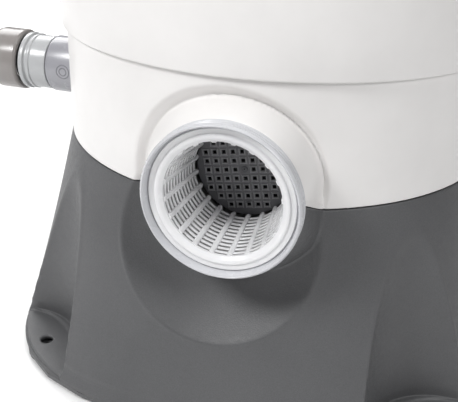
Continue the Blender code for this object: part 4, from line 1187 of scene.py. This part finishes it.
def drain_skin():
    """The drain plug, with a socket and a bar across it."""
    low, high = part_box("drain_plug")
    centre = (0, (low.y + high.y) / 2, (low.z + high.z) / 2)
    radius = (high.y - low.y) / 2
    outline = [(0.0, low.x), (radius - 0.0006, low.x), (radius - 0.0006, high.x - 0.004)]
    outline += [(radius, high.x - 0.0034), (radius, high.x - 0.0008), (radius - 0.001, high.x)]
    outline += [(0.0042, high.x), (0.004, high.x - 0.005), (0.0, high.x - 0.005)]
    mesh = turned(outline, 0.0006, 3, 72, axis=(1, 0, 0), centre=centre)
    bar_low = (high.x - 0.006, centre[1] - 0.0035, centre[2] - 0.0009)
    bar_high = (high.x - 0.0006, centre[1] + 0.0035, centre[2] + 0.0009)
    block(mesh, bar_low, bar_high, 0.0003)
    piece("drain_plug_skin", mesh, "pump_black", "drain_plug", sharp=40)


def pads():
    """The four rubber feet under the base plate."""
    for corner in ("front_right", "rear_right", "rear_left", "front_left"):
        node = "foot_pad_" + corner
        low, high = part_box(node)
        centre = ((low.x + high.x) / 2, (low.y + high.y) / 2, 0)
        outline = [(0.013, low.z + 0.0004), (0.013, high.z), (0.006, high.z), (0.006, low.z)]
        outline += [(0.0124, low.z)]
        pad = turned(outline, 0.0004, 3, 64, centre=centre)
        piece(node + "_skin", pad, "rubber_black", node, sharp=40)


def paint_frame():
    """The frame's own nodes that stay visible take the finished material of their slot."""
    for name, obj in frame["nodes"].items():
        obj.data.materials.clear()
        obj.data.materials.append(MATERIALS[SLOTS[name]])


# Camera, light and floor

CAMERA_AZIMUTH = radians(16.261)
CAMERA_ELEVATION = radians(26.354)
CAMERA_ROLL = radians(2.022)
CAMERA_DISTANCE = 3.908 * SEAM_R
CAMERA_AIM = (-0.227 * SEAM_R, -0.466 * SEAM_R)  # aside of the tank's axis, and above the seam
LENS = 58.09


def camera():
    level = cos(CAMERA_ELEVATION)
    forward = Vector((-sin(CAMERA_AZIMUTH) * level, cos(CAMERA_AZIMUTH) * level, -sin(CAMERA_ELEVATION)))
    right = Vector((cos(CAMERA_AZIMUTH), sin(CAMERA_AZIMUTH), 0))
    up = right.cross(forward)
    aim = right * CAMERA_AIM[0] + Vector((0, 0, SEAM_Z + CAMERA_AIM[1]))
    turn = Matrix((right, up, -forward)).transposed().to_4x4()
    data = bpy.data.cameras.new("camera")
    data.lens = LENS
    data.sensor_width = 36
    data.clip_start = 0.01
    obj = bpy.data.objects.new("camera", data)
    place = Matrix.Translation(aim - forward * CAMERA_DISTANCE)
    obj.matrix_world = place @ turn @ Matrix.Rotation(CAMERA_ROLL, 4, "Z")
    bpy.context.scene.collection.objects.link(obj)
    bpy.context.scene.camera = obj


def soft_box(name, place, target, size, power):
    data = bpy.data.lights.new(name, "AREA")
    data.shape = "RECTANGLE"
    data.size, data.size_y = size
    data.energy = power
    obj = bpy.data.objects.new(name, data)
    obj.location = place
    obj.rotation_euler = (Vector(target) - Vector(place)).to_track_quat("-Z", "Y").to_euler()
    bpy.context.scene.collection.objects.link(obj)


def studio():
    """Four soft lights, one of them for the floor, in a faint white surround over a pale floor."""
    world = bpy.data.worlds.new("studio")
    world.use_nodes = True
    surround = world.node_tree.nodes["Background"].inputs
    surround["Color"].default_value = (1, 1, 1, 1)
    surround["Strength"].default_value = 0.05
    bpy.context.scene.world = world
    soft_box("key_box", (-0.95, -1.15, 1.5), (0, 0, 0.2), (0.5, 0.5), 26)
    soft_box("top_box", (0.1, -0.3, 1.9), (0, -0.1, 0.15), (0.8, 0.8), 5)
    soft_box("right_box", (1.2, -0.95, 1.3), (0, 0, 0.25), (0.6, 0.6), 13)
    soft_box("floor_box", (-1.0, 0.9, 1.1), (-0.7, 0.4, 0), (1.2, 0.9), 20)
    floor = bmesh.new()
    bmesh.ops.create_grid(floor, x_segments=8, y_segments=8, size=4.0)
    mesh = bpy.data.meshes.new("floor")
    floor.to_mesh(mesh)
    floor.free()
    s = Surface("floor_paint")
    s.feed("Base Color", s.tint(s.noise(3, 4), (0.95, 0.95, 0.95), (0.98, 0.98, 0.98)))
    s.feed("Roughness", s.between(s.noise(20, 3), 0.6, 0.75))
    mesh.materials.append(s.material)
    obj = bpy.data.objects.new("floor", mesh)
    bpy.context.scene.collection.objects.link(obj)
    bpy.context.scene.view_settings.view_transform = "Standard"


camera()
studio()
paint_frame()
base_skin()
skirt_skin()
tank_skin()
mouth_ring()
strainer_cup()
basket_skin()
screen_skin()
hose_port("left", -1)
hose_port("right", 1)
lid_skin()
lock_ring_skin()
gauge_skin()
air_valve_skin()
switch_skin()
drain_skin()
pads()
